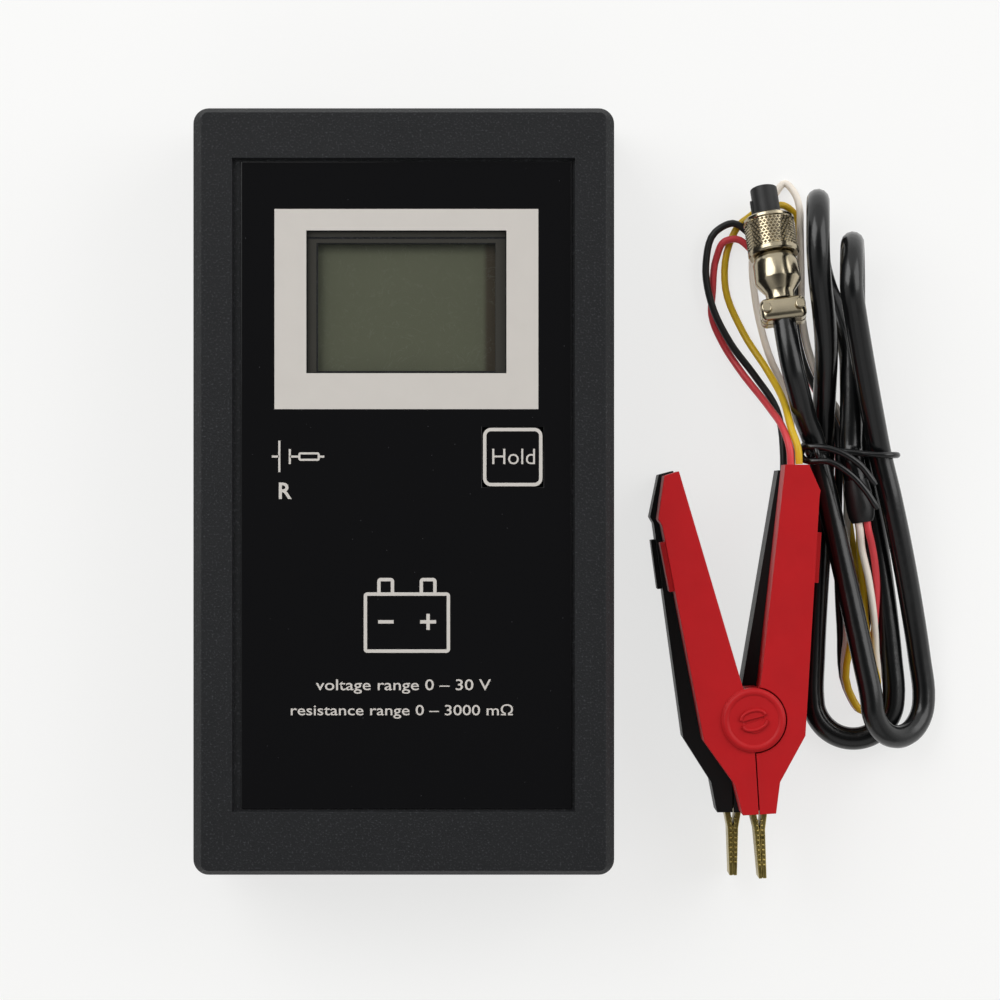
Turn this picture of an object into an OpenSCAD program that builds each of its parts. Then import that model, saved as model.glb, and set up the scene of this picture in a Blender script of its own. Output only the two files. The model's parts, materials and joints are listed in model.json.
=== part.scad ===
// Handheld four wire battery tester with its own lead set, lying face up.
// Origin: middle of the meter's back face. X right, Y towards the display end, Z out of the face.

/* [Case] */
// Width of the case across the display
case_w = 84.4; // [82:0.1:90]
// Length of the case
case_l = 153.7; // [150:0.1:165]
// Thickness of the case
case_h = 32; // [31:0.1:35]
// Radius of the upright corners
case_corner_r = 3.1; // [2:0.1:4]
// Wall of both case halves
case_wall = 2.2; // [1.8:0.1:2.6]
// Width of the slope along the sides of the face
slope_side = 1.7; // [1:0.1:2.2]
// Width of the slope at the ends of the face
slope_end = 1.0; // [0.6:0.1:1.6]
// Depth of the recess for the panel film
recess_depth = 1.4; // [1:0.1:1.8]
// Bezel beside the recess, at each side
bezel_side = 7.9; // [7:0.1:9]
// Bezel at each end of the recess
bezel_end = 11.45; // [10:0.05:13]
// Pitch across the case screws
case_screw_pitch_x = 69; // [66:0.1:70]
// Diameter of the case screws
case_screw_d = 3; // [2.5:0.1:3.4]

/* [Panel] */
// Groove beside the panel film, at each side
groove_side = 1.2; // [0.9:0.1:1.6]
// Groove at each end of the panel film
groove_end = 0.6; // [0.4:0.05:1]
// Thickness of the panel film
film_t = 0.5; // [0.3:0.05:0.7]
// Width of the clear window
window_w = 39.9; // [38:0.1:42]
// Height of the clear window
window_l = 28.4; // [27.6:0.1:30]
// Width of the liquid crystal glass seen through the window
view_w = 35.6; // [33:0.1:37]
// Width of the hold key
key_w = 12; // [11:0.1:13]
// Length of the hold key
key_l = 11.8; // [11:0.1:13]
// Travel of the hold key
key_travel = 0.4; // [0.2:0.05:0.5]

/* [Back] */
// Length of the battery door
door_l = 39.8; // [39:0.1:42]
// Width of the battery door
door_w = 54.4; // [54:0.1:58]
// Thickness of the battery door
door_t = 2; // [1.8:0.1:2.1]
// Length of the nine volt battery's can
cell_l = 46.4; // [45:0.1:46.8]
// Width of the nine volt battery
cell_w = 26.5; // [25:0.1:27]
// Thickness of the nine volt battery
cell_t = 17.5; // [16.5:0.1:17.8]

/* [Socket] */
// Outer diameter of the screw collar on the input socket
collar_d = 9; // [8.6:0.1:9.4]
// Diameter of the well round the collar
well_d = 18; // [17.4:0.1:18.6]
// Depth of the well
well_depth = 7.5; // [7:0.1:8]
// Travel of the power switch
switch_travel = 4; // [3:0.1:5]

/* [Lead] */
// Diameter of the cable
cable_d = 4.8; // [4.4:0.05:5]
// Diameter of each wire
wire_d = 1.5; // [1.2:0.05:1.5]
// Diameter of the breakout sleeve
sleeve_d = 5.8; // [5.4:0.05:6]
// Thickness of the coated wire tie
tie_d = 1.3; // [1:0.05:1.4]
// Diameter of the plug's knurled nut
nut_d = 10.6; // [10.2:0.1:10.8]
// Length of the plug's knurled nut
nut_l = 8.4; // [8:0.1:9]
// Diameter of the plug's insert
insert_d = 5.6; // [5.2:0.1:5.8]
// How far the insert stands out of the nut
insert_out = 6.7; // [6.2:0.1:7]

/* [Clips] */
// Pivot to the rear end of a lever
lever_l = 51.4; // [48:0.1:52]
// Middle of the clip to a lever's shoulder
lever_half_w = 16.4; // [15.6:0.1:16.4]
// Height of a clip's body
clip_h = 10.5; // [10.3:0.1:10.5]
// Pivot to the end of the plastic nose
nose_l = 19.2; // [18:0.1:20.5]
// Pivot to the tips of the jaws
jaw_reach = 32.4; // [30:0.1:33]
// Thickness of a jaw strip at its tip
jaw_t = 0.75; // [0.6:0.05:1]
// Radius of the round pivot cover
pivot_r = 6.5; // [6.2:0.1:6.7]
// Diameter of the pivot pin
pin_d = 4; // [3.4:0.1:4.4]

/* [Hidden] */
$fn = 48;

// Shared clearances and one overrun for every cut
over = 1;
slide_gap = 0.15;
fit_gap = 0.1;
run_gap = 0.05;
seat_gap = 0.2;
hull_fn = 32;

// Levels through the case, from the back up
parting_z = case_h / 2;
film_z = case_h - recess_depth;
plate_t = 2.2;
plate_z = film_z - plate_t;
slope_drop = 1.7;
back_edge = 1;
inner_w = case_w - 2 * case_wall;
end_wall_t = 5.4;
inner_y0 = -case_l / 2 + case_wall;
inner_y1 = case_l / 2 - end_wall_t;
lip_t = 1;
lip_h = 1.5;
lip_root = 3;
plateau_r = 1.3;

// The recess stands a little towards the display end, the film a little to the right
recess_y = 1.3;
recess_w = case_w - 2 * bezel_side;
recess_l = case_l - 2 * bezel_end;
film_w = recess_w - 2 * groove_side;
film_l = recess_l - 2 * groove_end;
film_x = 0.55;
film_y = recess_y;
film_top = film_z + film_t;
window_from_end = 38.85;
window_y = case_l / 2 - window_from_end;
window_t = 1.2;
window_z = film_top - window_t;
view_l = 25.5;
view_y = window_y - window_l / 2 + view_l / 2 + fit_gap * 4;

// Hold key, its stem and the switch under it
key_x = 21.85;
key_below_window = 31.1;
key_y = window_y - key_below_window;
key_proud = 0.2;
key_corner_r = 1.6;
key_gap = 0.15;
key_floor = 0.6;
key_t = film_top + key_proud - (plate_z + key_floor) - key_travel - slide_gap;
key_z = film_top + key_proud - key_t;
stem_d = 4;
guide_wall = 1.4;
guide_l = 3.2;
tact_w = 6;
tact_h = 3.5;
plunger_d = 3.4;

// Circuit board
pcb_t = 1.6;
pcb_w = 72;
pcb_from_back = 42.85;
pcb_from_end = 18.85;
pcb_y0 = -case_l / 2 + pcb_from_back;
pcb_y1 = case_l / 2 - pcb_from_end;
pcb_z = parting_z + 1.4;
pcb_top = pcb_z + pcb_t;
tact_top = pcb_top + tact_h;
stem_bottom = tact_top + 2;
boss_d = 5;
pcb_screw_d = 2;
pcb_screw_l = 6;
pcb_head_h = 1.3;
pcb_screw_places = [for (sx = [-1, 1], y = [pcb_y0 + boss_d - over, pcb_y1 - boss_d + over])
  [sx * (pcb_w / 2 - boss_d + over), y]];

// Liquid crystal display stack
glass_t = 2.8;
glass_side = 3;
glass_end = 3.8;
glass_w = window_w + 2 * glass_side;
glass_l = window_l + 2 * glass_end;
glass_z = plate_z - seat_gap - glass_t;
holder_wall = 2;
strip_w = 2.5;
light_t = 3;
light_margin = 4;

// Case screws and their pillars
pillar_d = 7;
pillar_gap = 0.1;
screw_head_d = 5.4;
screw_head_h = 2.4;
head_sink = 3.4;
screw_l = parting_z + 3;
pillar_from_back = 8.85;
pillar_from_end = 10.85;
pillar_y0 = -case_l / 2 + pillar_from_back;
pillar_y1 = case_l / 2 - pillar_from_end;
screw_places = [for (sx = [-1, 1], y = [pillar_y0, pillar_y1]) [sx * case_screw_pitch_x / 2, y]];

// Opening in the display end and the plate that slides into its groove
end_open_w = 64;
end_open_h = well_d + 4;
tongue = 1.5;
panel_t = 2;
panel_setback = 1.6;
panel_w = end_open_w + 2 * tongue;
panel_h = end_open_h + 2 * tongue;
panel_y = case_l / 2 - panel_setback - panel_t;
cup_wall = 1.4;
socket_x = -15;
switch_x = 17;

// Input socket
collar_end = case_l / 2 - 1;
well_floor = panel_y + panel_t - well_depth;
cup_floor_t = 2;
flange_d = 11;
flange_t = 0.8;
neck_d = 7;
neck_l = 7;
socket_bore_d = 6.1;
socket_bore_l = 7;
socket_pin_d = 0.9;
pin_circle_r = 1.5;
nut_af = 10;
socket_nut_t = 2;
tail_l = 2;
tail_y = well_floor - neck_l - tail_l;

// Power switch behind the end plate
switch_body_w = 12;
switch_body_h = 6;
switch_body_l = 6;
slider_w = 4;
slider_h = 3;
slider_out = 1.2;
slot_margin = 0.3;

// Battery bay above the sliding door
bay_wall = 1.6;
bay_gap = 0.6;
bay_from_back = 22.85;
bay_y = -case_l / 2 + bay_from_back;
bay_x0 = -25.8;
bay_l = cell_l + 6;
bay_w = cell_w + 2 * bay_gap;
cell_z = door_t + seat_gap;
pad_t = 1.2;
bay_top = cell_z + cell_t + pad_t + seat_gap;
cell_x0 = bay_x0 + bay_gap;
terminal_d = 6;
terminal_h = 2.4;
terminal_pitch = 12.8;
snap_t = 3.6;
rail_w = 1.2;
rail_t = 0.9;
rail_z = 0.7;
door_gap = 0.25;
ridge_w = 1.4;
ridge_depth = 0.5;
ridge_count = 5;
ridge_l_share = 0.45;
ridge_pitch = 3;

// Harness and battery leads inside the case
harness_d = 1.2;
header_w = 12;
header_l = 4;
header_h = 5;
header_y = pcb_y1 - header_l;

// Plug: low at its tip, its cable end raised
plug_tip = [74.1, 62.9, 5.2];
plug_rise = 18;
plug_heading = 7.3;
key_ridge_w = 1;
key_ridge_h = 0.4;
key_ridge_start = 2.4;
shell_r = 3.3;
shell_lip_r = 4.3;
shell_lip_t = 1;
nut_bore_r = 4.6;
nut_back_t = 3.2;
barrel_d = 9.6;
barrel_lead_d = 8.4;
barrel_lead = 1.6;
barrel_l = 4;
barrel_taper = 2.4;
waist_d = 6;
waist_l = 1.8;
clamp_l = 4.8;
clamp_w = 9.4;
clamp_h = 7;
clamp_screw_pitch = 7;
clamp_screw_d = 1.2;
clamp_head_d = 2.1;
clamp_head_h = 0.7;
contact_d = 0.9;

// Places along the plug's axis, from its tip
nut_s = insert_out;
nut_end_s = nut_s + nut_l;
lip_s = nut_end_s - nut_back_t - shell_lip_t - fit_gap;
barrel_s = nut_end_s + fit_gap * 2;
barrel_end_s = barrel_s + barrel_lead + barrel_l;
waist_s = barrel_end_s + barrel_taper;
tube_end_s = waist_s + waist_l;
clamp_end_s = tube_end_s + clamp_l;

// Hank: the height where it is tied, and each strand's place there as [x, z]
tie_y = 8.1;
waist_0 = [84.9, 9.25];
waist_1 = [97.8, 9.7];
waist_2 = [94.7, 4];
waist_3 = [86.6, 4];
waist_4 = [92, 8.9];
// Each fold: the arm it starts on, the arm it ends on as [x, z], and the height of its centre
fold_a = [[95.9, 12.0], [107.8, 2.5], -43.2];
fold_b = [[90.7, 21.6], [93.2, 2.5], 41.6];
fold_c = [[101.5, 2.5], [84.65, 2.5], -43.1];
fold_d = [[83.9, 21.6], [85.7, 2.5], 50.4];
fold_rings = 7;
run_rings = 2;
// How a run moves between arm and waist: under 1 it has settled at that share of its length,
// from 1 up it is the power of its bend
settle_early = 0.58;
smooth = 0.999;
straight = 1;
bend_0 = 1.05;
bend_1 = 1.3;
bend_2 = 1.4;
bend_top = 1.1;
// The cable's way from the plug to the tie, and from the tie to the sleeve
lead_in = [[79.3, 25.2, 15.9], [80.7, 20.2, 14.3], [82.2, 15.2, 11.8], [83.95, 11.2, 9.95]];
sleeve_start = [92.9, 2.5, 9.2];
sleeve_end = [94.3, -6.3, 9.2];

// Wires: each starts at the sleeve and ends at a lever, its points chosen by hand
wire_row = 0.85;
white_route = [[94.2, -11.5, 8.6], [95.7, -18, 7.8], [96.8, -25, 6.9], [97.5, -33, 5.2],
  [97.7, -41, 4.05], [94.7, -45.6, 4.05], [91.7, -41, 4.05], [91.6, -28, 4.2], [91.3, -18, 4.8],
  [91.5, -2, 5.4], [91.45, 8.1, 5.3], [91.3, 13, 3.9], [89.85, 17, 2.5], [87.4, 21, 2.45],
  [84.95, 26, 2.45], [82.5, 36, 2.45], [82.2, 46, 2.45], [82, 55, 2.45], [81.9, 59, 2.45],
  [80.9, 62.5, 1.5], [78.9, 64.6, 0.8], [76.8, 62.2, 0.8], [73.4, 56.8, 0.8], [72.1, 48, 0.8],
  [72.8, 40, 0.8], [75.5, 29, 0.8], [79.6, 19.2, 1.2], [80, 13, 3.8]];
yellow_route = [[93.9, -11.5, 7], [94.7, -19, 5.9], [95.3, -27, 5.6], [96.2, -34, 6.4],
  [97.7, -41, 5.65], [94.7, -45.6, 5.65], [91.7, -41, 5.65], [92.8, -28, 5.6], [93.4, -18, 4.2],
  [91.8, -2, 2.5], [91.45, 8.8, 2.4], [91.3, 13, 1], [89.85, 17, 0.85], [87.4, 21, 0.85],
  [84.95, 26, 0.85], [82.5, 36, 0.85], [82.2, 46, 0.85], [82, 53.5, 0.85], [81.1, 58, 0.85],
  [78.6, 59.9, 1.5], [75.4, 59.3, 2.5], [73.2, 58.7, 2.4], [71.3, 57.4, 1.3], [69.7, 56.2, 0.8],
  [67.3, 51.8, 0.8], [66.5, 42.6, 0.8], [70.1, 33.4, 1.5], [75.1, 25, 5], [77.9, 18.5, 11],
  [79, 13, 15.3]];
red_route = [[96.4, -11.5, 8.6], [97.5, -19, 6.6], [97.35, -27, 4.9], [97.2, -33, 2.75],
  [97.9, -37, 1.1], [97.7, -41, 0.85], [94.7, -45.6, 0.85], [91.7, -41, 0.85], [90.9, -28, 0.85],
  [90.2, -18, 1.1], [89.9, -2, 2], [89.85, 8.8, 2.4], [89.6, 13, 1.1], [88, 17, 0.85],
  [85.5, 21, 0.85], [83.1, 26, 0.85], [80.85, 36, 0.85], [80.6, 41, 0.85], [78.6, 45.6, 1.2],
  [76.6, 47.6, 2.2], [72.5, 50, 2.45], [68.6, 52.8, 2.45], [66.2, 52.3, 2.35], [64.6, 49, 1],
  [63.8, 42, 0.85], [63.6, 37, 0.85], [66.2, 30.6, 0.85], [69, 26.1, 1.9], [75.1, 17.3, 9],
  [77.5, 12.8, 14.5]];
black_route = [[95.6, -11.5, 6], [95.7, -19, 4], [96, -27, 2.9], [95.45, -33, 2.7],
  [96.4, -37, 2.6], [97.7, -41, 2.45], [94.7, -45.6, 2.45], [91.7, -41, 2.45], [90.3, -28, 2.6],
  [89.8, -18, 3], [89.8, -2, 4.9], [89.85, 8.1, 5.3], [89.75, 11, 3.9], [89.6, 13, 2.8],
  [88, 17, 2.45], [85.5, 21, 2.45], [83.1, 26, 2.45], [80.85, 36, 2.45], [80.5, 45, 2.5],
  [78.6, 49.6, 2.5], [72.6, 52.9, 2.45], [67.9, 56.1, 2.45], [64.2, 54.2, 2.5], [62.3, 47.6, 2.5],
  [63.4, 39.5, 2.5], [67.4, 31.1, 2.5], [72.4, 24.4, 2.5], [76.9, 17.3, 3.8]];

// Clips: pivot, turn about the pivot and height of the underside
red_clip = [70.8, -46.4, 3.5, 11.6];
black_clip = [67.4, -47, 0.3, 0];
clip_open_range = 18;
// Outline of the fixed half: widths as shares of lever_half_w, lengths of nose_l or lever_l
nose_shares = [[0.007, -1], [0.207, -1], [0.28, -0.672], [0.628, -0.198]];
lever_shares = [[0.982, 0.862], [1, 0.889], [0.878, 0.994], [0.585, 1], [0.122, 0.15],
  [0.007, 0.01]];
moving_lever_shares = [[0.985, 0.79], [1.03, 0.815], [0.92, 0.985], [0.735, 1], [0.122, 0.15],
  [0.007, 0.01]];
tab_start_share = 0.605;
tab_l_share = 0.2;
tab_out = 1;
tab_z = 2;
tab_sink = 1;
pocket_wall = 1.5;
pocket_top = 1.8;
pocket_y0_share = 0.27;
pocket_y1_share = 0.93;
knuckle_gap = 0.3;
cover_rise = 0.5;
cover_t = 2.2;
foot_t = 2;
mid_knuckle_t = 2;
level_gap = 0.2;
pin_head_r = 2.55;
pin_head_t = 0.3;
pin_slot_w = 0.7;
pin_slot_h = 3;
pin_slot_turn = 12;
jaw_h = 7;
jaw_gap = 0.04;
jaw_root = 6.6;
jaw_root_x = 0.5;
jaw_root_t = 1.2;
jaw_bend = 3.3;
spring_wire_d = 0.6;
spring_coil_r = 3;
spring_turns = 2;
spring_leg_l = 11;
spring_leg_turn = 9;
spring_slot_w = 1.6;
knuckle_low_z = foot_t + level_gap;
spring_z = knuckle_low_z + mid_knuckle_t + level_gap;
cover_z = clip_h + cover_rise - cover_t;
knuckle_high_z = cover_z - level_gap - mid_knuckle_t;
spring_room = knuckle_high_z - knuckle_low_z - mid_knuckle_t;

// Colours, as seen
abs_black = "#2a2b2d";
film_black = "#0c0c0e";
glass_grey = "#5a5d4d";
board_green = "#23543a";
chip_black = "#1a1a1a";
nickel = "#a89f86";
brass = "#857a45";
steel = "#9a9c9e";
clip_red = "#b5151c";
clip_black = "#151516";
pvc_black = "#101112";

// Vector helpers and the one sweep that makes every cord and spring
function unit(v) = v / norm(v);
function ease(u) = let (c = min(1, max(0, u))) c * c * (3 - 2 * c);
function across(t) = unit(cross(t, abs(t[2]) < 0.9 ? [0, 0, 1] : [1, 0, 0]));
function tangent_at(p, i) = i == 0 ? unit(p[1] - p[0])
  : i == len(p) - 1 ? unit(p[i] - p[i - 1])
  : unit(unit(p[i + 1] - p[i]) + unit(p[i] - p[i - 1]));
function side_lists(p) = [for (i = 0, n = across(tangent_at(p, 0)); i < len(p);
  i = i + 1, n = i < len(p) ? let (t = tangent_at(p, i)) unit(n - (n * t) * t) : n) n];

module sweep(p, d, sides = 8) {
  normals = side_lists(p);
  rings = [for (i = [0 : len(p) - 1], k = [0 : sides - 1])
    let (t = tangent_at(p, i), a = 360 * k / sides)
    p[i] + d / 2 * (normals[i] * cos(a) + cross(t, normals[i]) * sin(a))];
  walls = [for (i = [0 : len(p) - 2], k = [0 : sides - 1], half = [0, 1])
    let (a = i * sides + k, b = i * sides + (k + 1) % sides, c = a + sides, e = b + sides)
    half == 0 ? [a, c, b] : [b, c, e]];
  last = (len(p) - 1) * sides;
  caps = [for (k = [1 : sides - 2], end = [0, 1])
    end == 0 ? [0, k, k + 1] : [last, last + k + 1, last + k]];
  polyhedron(rings, concat(walls, caps), convexity = 6);
}

// Where a place on the plug's axis lies
plug_dir = [sin(plug_heading) * cos(plug_rise), -cos(plug_heading) * cos(plug_rise), sin(plug_rise)];
function plug_point(s) = plug_tip + s * plug_dir;
// Where a place in a clip's own frame lies
function clip_point(c, p) = [c[0] + p[0] * cos(c[2]) - p[1] * sin(c[2]),
  c[1] + p[0] * sin(c[2]) + p[1] * cos(c[2]), c[3] + p[2]];

// The hank's route: folds are half circles between two arms, runs ease from arm to waist
function fold_points(f, dir) = let (mid = (f[0] + f[1]) / 2, arm = (f[0] - f[1]) / 2)
  [for (k = [0 : fold_rings - 1]) let (a = 180 * k / (fold_rings - 1))
    [mid[0] + arm[0] * cos(a), f[2] + dir * norm(arm) * sin(a), mid[1] + arm[1] * cos(a)]];
function profile(u, k) = k < 1 ? ease(u / k) : pow(u, k);
function run_point(arm, arm_y, waist, u, kx, kz) = [arm[0] + (waist[0] - arm[0]) * profile(u, kx),
  arm_y + (tie_y - arm_y) * u, arm[1] + (waist[1] - arm[1]) * profile(u, kz)];
function run_in(arm, arm_y, waist, kx = smooth, kz = smooth) =
  [for (k = [1 : run_rings]) run_point(arm, arm_y, waist, k / (run_rings + 1), kx, kz)];
function reversed(v) = [for (i = [len(v) - 1 : -1 : 0]) v[i]];
function at_tie(w) = [[w[0], tie_y, w[1]]];

cable_route = concat(
  [plug_point(tube_end_s), plug_point(clamp_end_s), plug_point(clamp_end_s + over)],
  lead_in,
  at_tie(waist_0),
  reversed(run_in(fold_a[0], fold_a[2], waist_0, bend_0)),
  fold_points(fold_a, -1),
  run_in(fold_a[1], fold_a[2], waist_1, bend_1),
  at_tie(waist_1),
  reversed(run_in(fold_b[0], fold_b[2], waist_1, bend_top, straight)),
  fold_points(fold_b, 1),
  run_in(fold_b[1], fold_b[2], waist_2),
  at_tie(waist_2),
  reversed(run_in(fold_c[0], fold_c[2], waist_2, bend_2)),
  fold_points(fold_c, -1),
  run_in(fold_c[1], fold_c[2], waist_3),
  at_tie(waist_3),
  reversed(run_in(fold_d[0], fold_d[2], waist_3, settle_early)),
  fold_points(fold_d, 1),
  run_in(fold_d[1], fold_d[2], waist_4, settle_early, settle_early),
  at_tie(waist_4),
  [sleeve_start - unit(sleeve_end - sleeve_start) * cable_d, sleeve_start]);

// Least gap of the cable to itself, measured on points between the rings
gap_steps = 5;
near_skip = 14;
cable_samples = [for (i = [0 : len(cable_route) - 2], k = [0 : gap_steps - 1])
  cable_route[i] + (cable_route[i + 1] - cable_route[i]) * k / gap_steps];
function run_sums(v) = [for (i = 0, s = 0; i < len(v);
  s = i + 1 < len(v) ? s + norm(v[i + 1] - v[i]) : s, i = i + 1) s];
cable_sums = run_sums(cable_samples);
cable_gap = min([for (i = [0 : len(cable_samples) - 1], j = [i + 1 : 1 : len(cable_samples) - 1])
  if (cable_sums[j] - cable_sums[i] > near_skip) norm(cable_samples[i] - cable_samples[j])]) - cable_d;
echo(str("least gap of the cable to itself ", cable_gap, " mm, length ",
  cable_sums[len(cable_sums) - 1], " mm"));

// Flat outlines
module rounded(w, l, r) {
  square([w - 2 * r, l], center = true);
  square([w, l - 2 * r], center = true);
  for (sx = [-1, 1], sy = [-1, 1])
    translate([sx * (w / 2 - r), sy * (l / 2 - r)]) circle(r);
}
module slab(w, l, h, x = 0, y = 0, z = 0) {
  translate([x - w / 2, y - l / 2, z]) cube([w, l, h]);
}
module post(d, h, place, z) {
  translate([place[0], place[1], z]) cylinder(d = d, h = h);
}
// Stands children along +Y from a place in the end of the case
module facing_out(x, y) {
  translate([x, y, parting_z]) rotate([-90, 0, 0]) children();
}

// Meter case
module case_block(z0, z1) {
  translate([0, 0, z0]) linear_extrude(z1 - z0) rounded(case_w, case_l, case_corner_r);
}
module cavity(z0, z1, gap = 0) {
  y0 = inner_y0 + gap;
  y1 = inner_y1 - gap;
  slab(inner_w - 2 * gap, y1 - y0, z1 - z0, 0, (y0 + y1) / 2, z0);
}
module end_opening() {
  slab(end_open_w, 3 * end_wall_t, end_open_h, 0, case_l / 2, parting_z - end_open_h / 2);
  slab(panel_w + 2 * slide_gap, panel_t + 2 * run_gap, panel_h + 2 * slide_gap,
    0, panel_y + panel_t / 2, parting_z - panel_h / 2 - slide_gap);
}
module front_case() color(abs_black) difference() {
  union() {
    difference() {
      hull($fn = hull_fn) {
        case_block(parting_z, case_h - slope_drop);
        translate([0, 0, parting_z]) linear_extrude(case_h - parting_z)
          rounded(case_w - 2 * slope_side, case_l - 2 * slope_end, plateau_r);
      }
      cavity(parting_z - over, plate_z);
    }
    for (p = screw_places) post(pillar_d, plate_z - parting_z + over, p, parting_z);
    for (p = pcb_screw_places) post(boss_d, plate_z - pcb_top + over, p, pcb_top);
    post(stem_d + 2 * (slide_gap + guide_wall), guide_l + over, [key_x, key_y], plate_z - guide_l);
  }
  slab(recess_w, recess_l, recess_depth + over, 0, recess_y, film_z);
  slab(view_w, view_l, plate_t + 2 * over, film_x, view_y, plate_z - over);
  slab(window_w + 2 * fit_gap, window_l + 2 * fit_gap, window_t + over,
    film_x, window_y, window_z);
  slab(key_w + 2 * key_gap, key_l + 2 * key_gap, plate_t + over, key_x, key_y,
    plate_z + key_floor);
  post(stem_d + 2 * slide_gap, case_h, [key_x, key_y], parting_z);
  for (p = screw_places) post(case_screw_d - 2 * slide_gap, screw_l - parting_z + 2 * over, p,
    parting_z - over);
  for (p = pcb_screw_places) post(pcb_screw_d - run_gap, pcb_screw_l + over, p, pcb_z - over);
  end_opening();
}
module lip() {
  difference() {
    union() {
      cavity(parting_z - lip_root, parting_z);
      cavity(parting_z - over, parting_z + lip_h, slide_gap);
    }
    cavity(parting_z - lip_root - over, parting_z + lip_h + over, lip_t + slide_gap);
    slab(panel_w, 4 * end_wall_t, case_h, 0, case_l / 2, 0);
  }
}
module bay_box(grow, z0, z1) {
  slab(bay_l + 2 * grow, bay_w + 2 * grow, z1 - z0, bay_x0 + bay_l / 2, bay_y, z0);
}
module rear_case() color(abs_black) difference() {
  union() {
    difference() {
      hull($fn = hull_fn) {
        case_block(back_edge, parting_z);
        linear_extrude(parting_z)
          rounded(case_w - 2 * back_edge, case_l - 2 * back_edge, case_corner_r - back_edge);
      }
      cavity(case_wall, parting_z + over);
    }
    lip();
    bay_box(bay_wall, 0, bay_top + bay_wall);
    for (p = screw_places) post(pillar_d, parting_z - pillar_gap, p, 0);
  }
  bay_box(0, -over, bay_top);
  slab(door_w + 2 * door_gap, door_l + door_gap + over, door_t + door_gap,
    0, (door_l + door_gap - over - case_l) / 2, 0);
  slab(door_w + 2 * door_gap, door_l + door_gap + over, over + run_gap,
    0, (door_l + door_gap - over - case_l) / 2, -over);
  slab(door_w + 2 * (rail_w + door_gap), door_l + door_gap + over, rail_t + 2 * slide_gap,
    0, (door_l + door_gap - over - case_l) / 2, rail_z - slide_gap);
  for (p = screw_places) {
    post(case_screw_d + 2 * slide_gap, case_h, p, -over);
    post(screw_head_d + 2 * slide_gap, head_sink + over, p, -over);
  }
  slab(bay_wall * 3, terminal_pitch, 2 * snap_t, bay_x0 + bay_l + bay_wall, bay_y,
    bay_top - 2 * snap_t);
  end_opening();
}
module end_panel() color(abs_black) difference() {
  union() {
    slab(panel_w, panel_t, panel_h, 0, panel_y + panel_t / 2, parting_z - panel_h / 2);
    facing_out(socket_x, well_floor - cup_floor_t)
      cylinder(d = well_d + 2 * cup_wall, h = well_depth + cup_floor_t - panel_t / 2);
  }
  facing_out(socket_x, well_floor) cylinder(d = well_d, h = well_depth + over);
  facing_out(socket_x, well_floor - cup_floor_t - over)
    cylinder(d = neck_d + 2 * fit_gap, h = cup_floor_t + 2 * over);
  slab(slider_w + switch_travel + 2 * slot_margin, panel_t + 2 * over, slider_h + 2 * slot_margin,
    switch_x, panel_y + panel_t / 2, parting_z - slider_h / 2 - slot_margin);
}

// Face of the meter
module graphic_overlay() color(film_black) difference() {
  slab(film_w, film_l, film_t, film_x, film_y, film_z);
  slab(window_w + 2 * fit_gap, window_l + 2 * fit_gap, film_t + 2 * over,
    film_x, window_y, film_z - over);
  slab(key_w + 2 * key_gap, key_l + 2 * key_gap, film_t + 2 * over, key_x, key_y, film_z - over);
}
module display_window() color("#8a8f8c", 0.4)
  slab(window_w, window_l, window_t, film_x, window_y, window_z);
module hold_key() color(film_black) {
  translate([key_x, key_y, key_z]) linear_extrude(key_t) rounded(key_w, key_l, key_corner_r);
  post(stem_d, key_z - stem_bottom + key_t / 2, [key_x, key_y], stem_bottom);
}
module tact_switch() color(steel) difference() {
  slab(tact_w, tact_w, tact_h, key_x, key_y, pcb_top);
  post(plunger_d + 2 * fit_gap, tact_h, [key_x, key_y], pcb_top + tact_h - key_travel - over - fit_gap);
}
module tact_plunger() color(chip_black)
  post(plunger_d, stem_bottom - fit_gap - tact_top + over, [key_x, key_y], tact_top - over);
module lcd_glass() color(glass_grey) slab(glass_w, glass_l, glass_t, film_x, window_y, glass_z);
module lcd_holder() color("#d8d6cf") difference() {
  slab(glass_w + 2 * holder_wall, glass_l + 2 * holder_wall, plate_z - seat_gap - pcb_top,
    film_x, window_y, pcb_top);
  slab(glass_w + 2 * fit_gap, glass_l + 2 * fit_gap, glass_t + over, film_x, window_y, glass_z);
  slab(glass_w - 2 * light_margin, glass_l - 2 * (light_margin + strip_w), case_h,
    film_x, window_y, pcb_top - over);
  for (sy = [-1, 1]) slab(glass_w - 2 * strip_w, strip_w, case_h,
    film_x, window_y + sy * (glass_l / 2 - strip_w), pcb_top - over);
}
module lcd_contact_strips() color("#c9c0b2") for (sy = [-1, 1])
  slab(glass_w - 2 * strip_w - 2 * fit_gap, strip_w - 2 * fit_gap, glass_z - pcb_top,
    film_x, window_y + sy * (glass_l / 2 - strip_w), pcb_top);
module lcd_backlight() color("#e9ece6")
  slab(glass_w - 2 * light_margin - 2 * fit_gap, glass_l - 2 * (light_margin + strip_w + fit_gap),
    light_t, film_x, window_y, glass_z - light_t);

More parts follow.
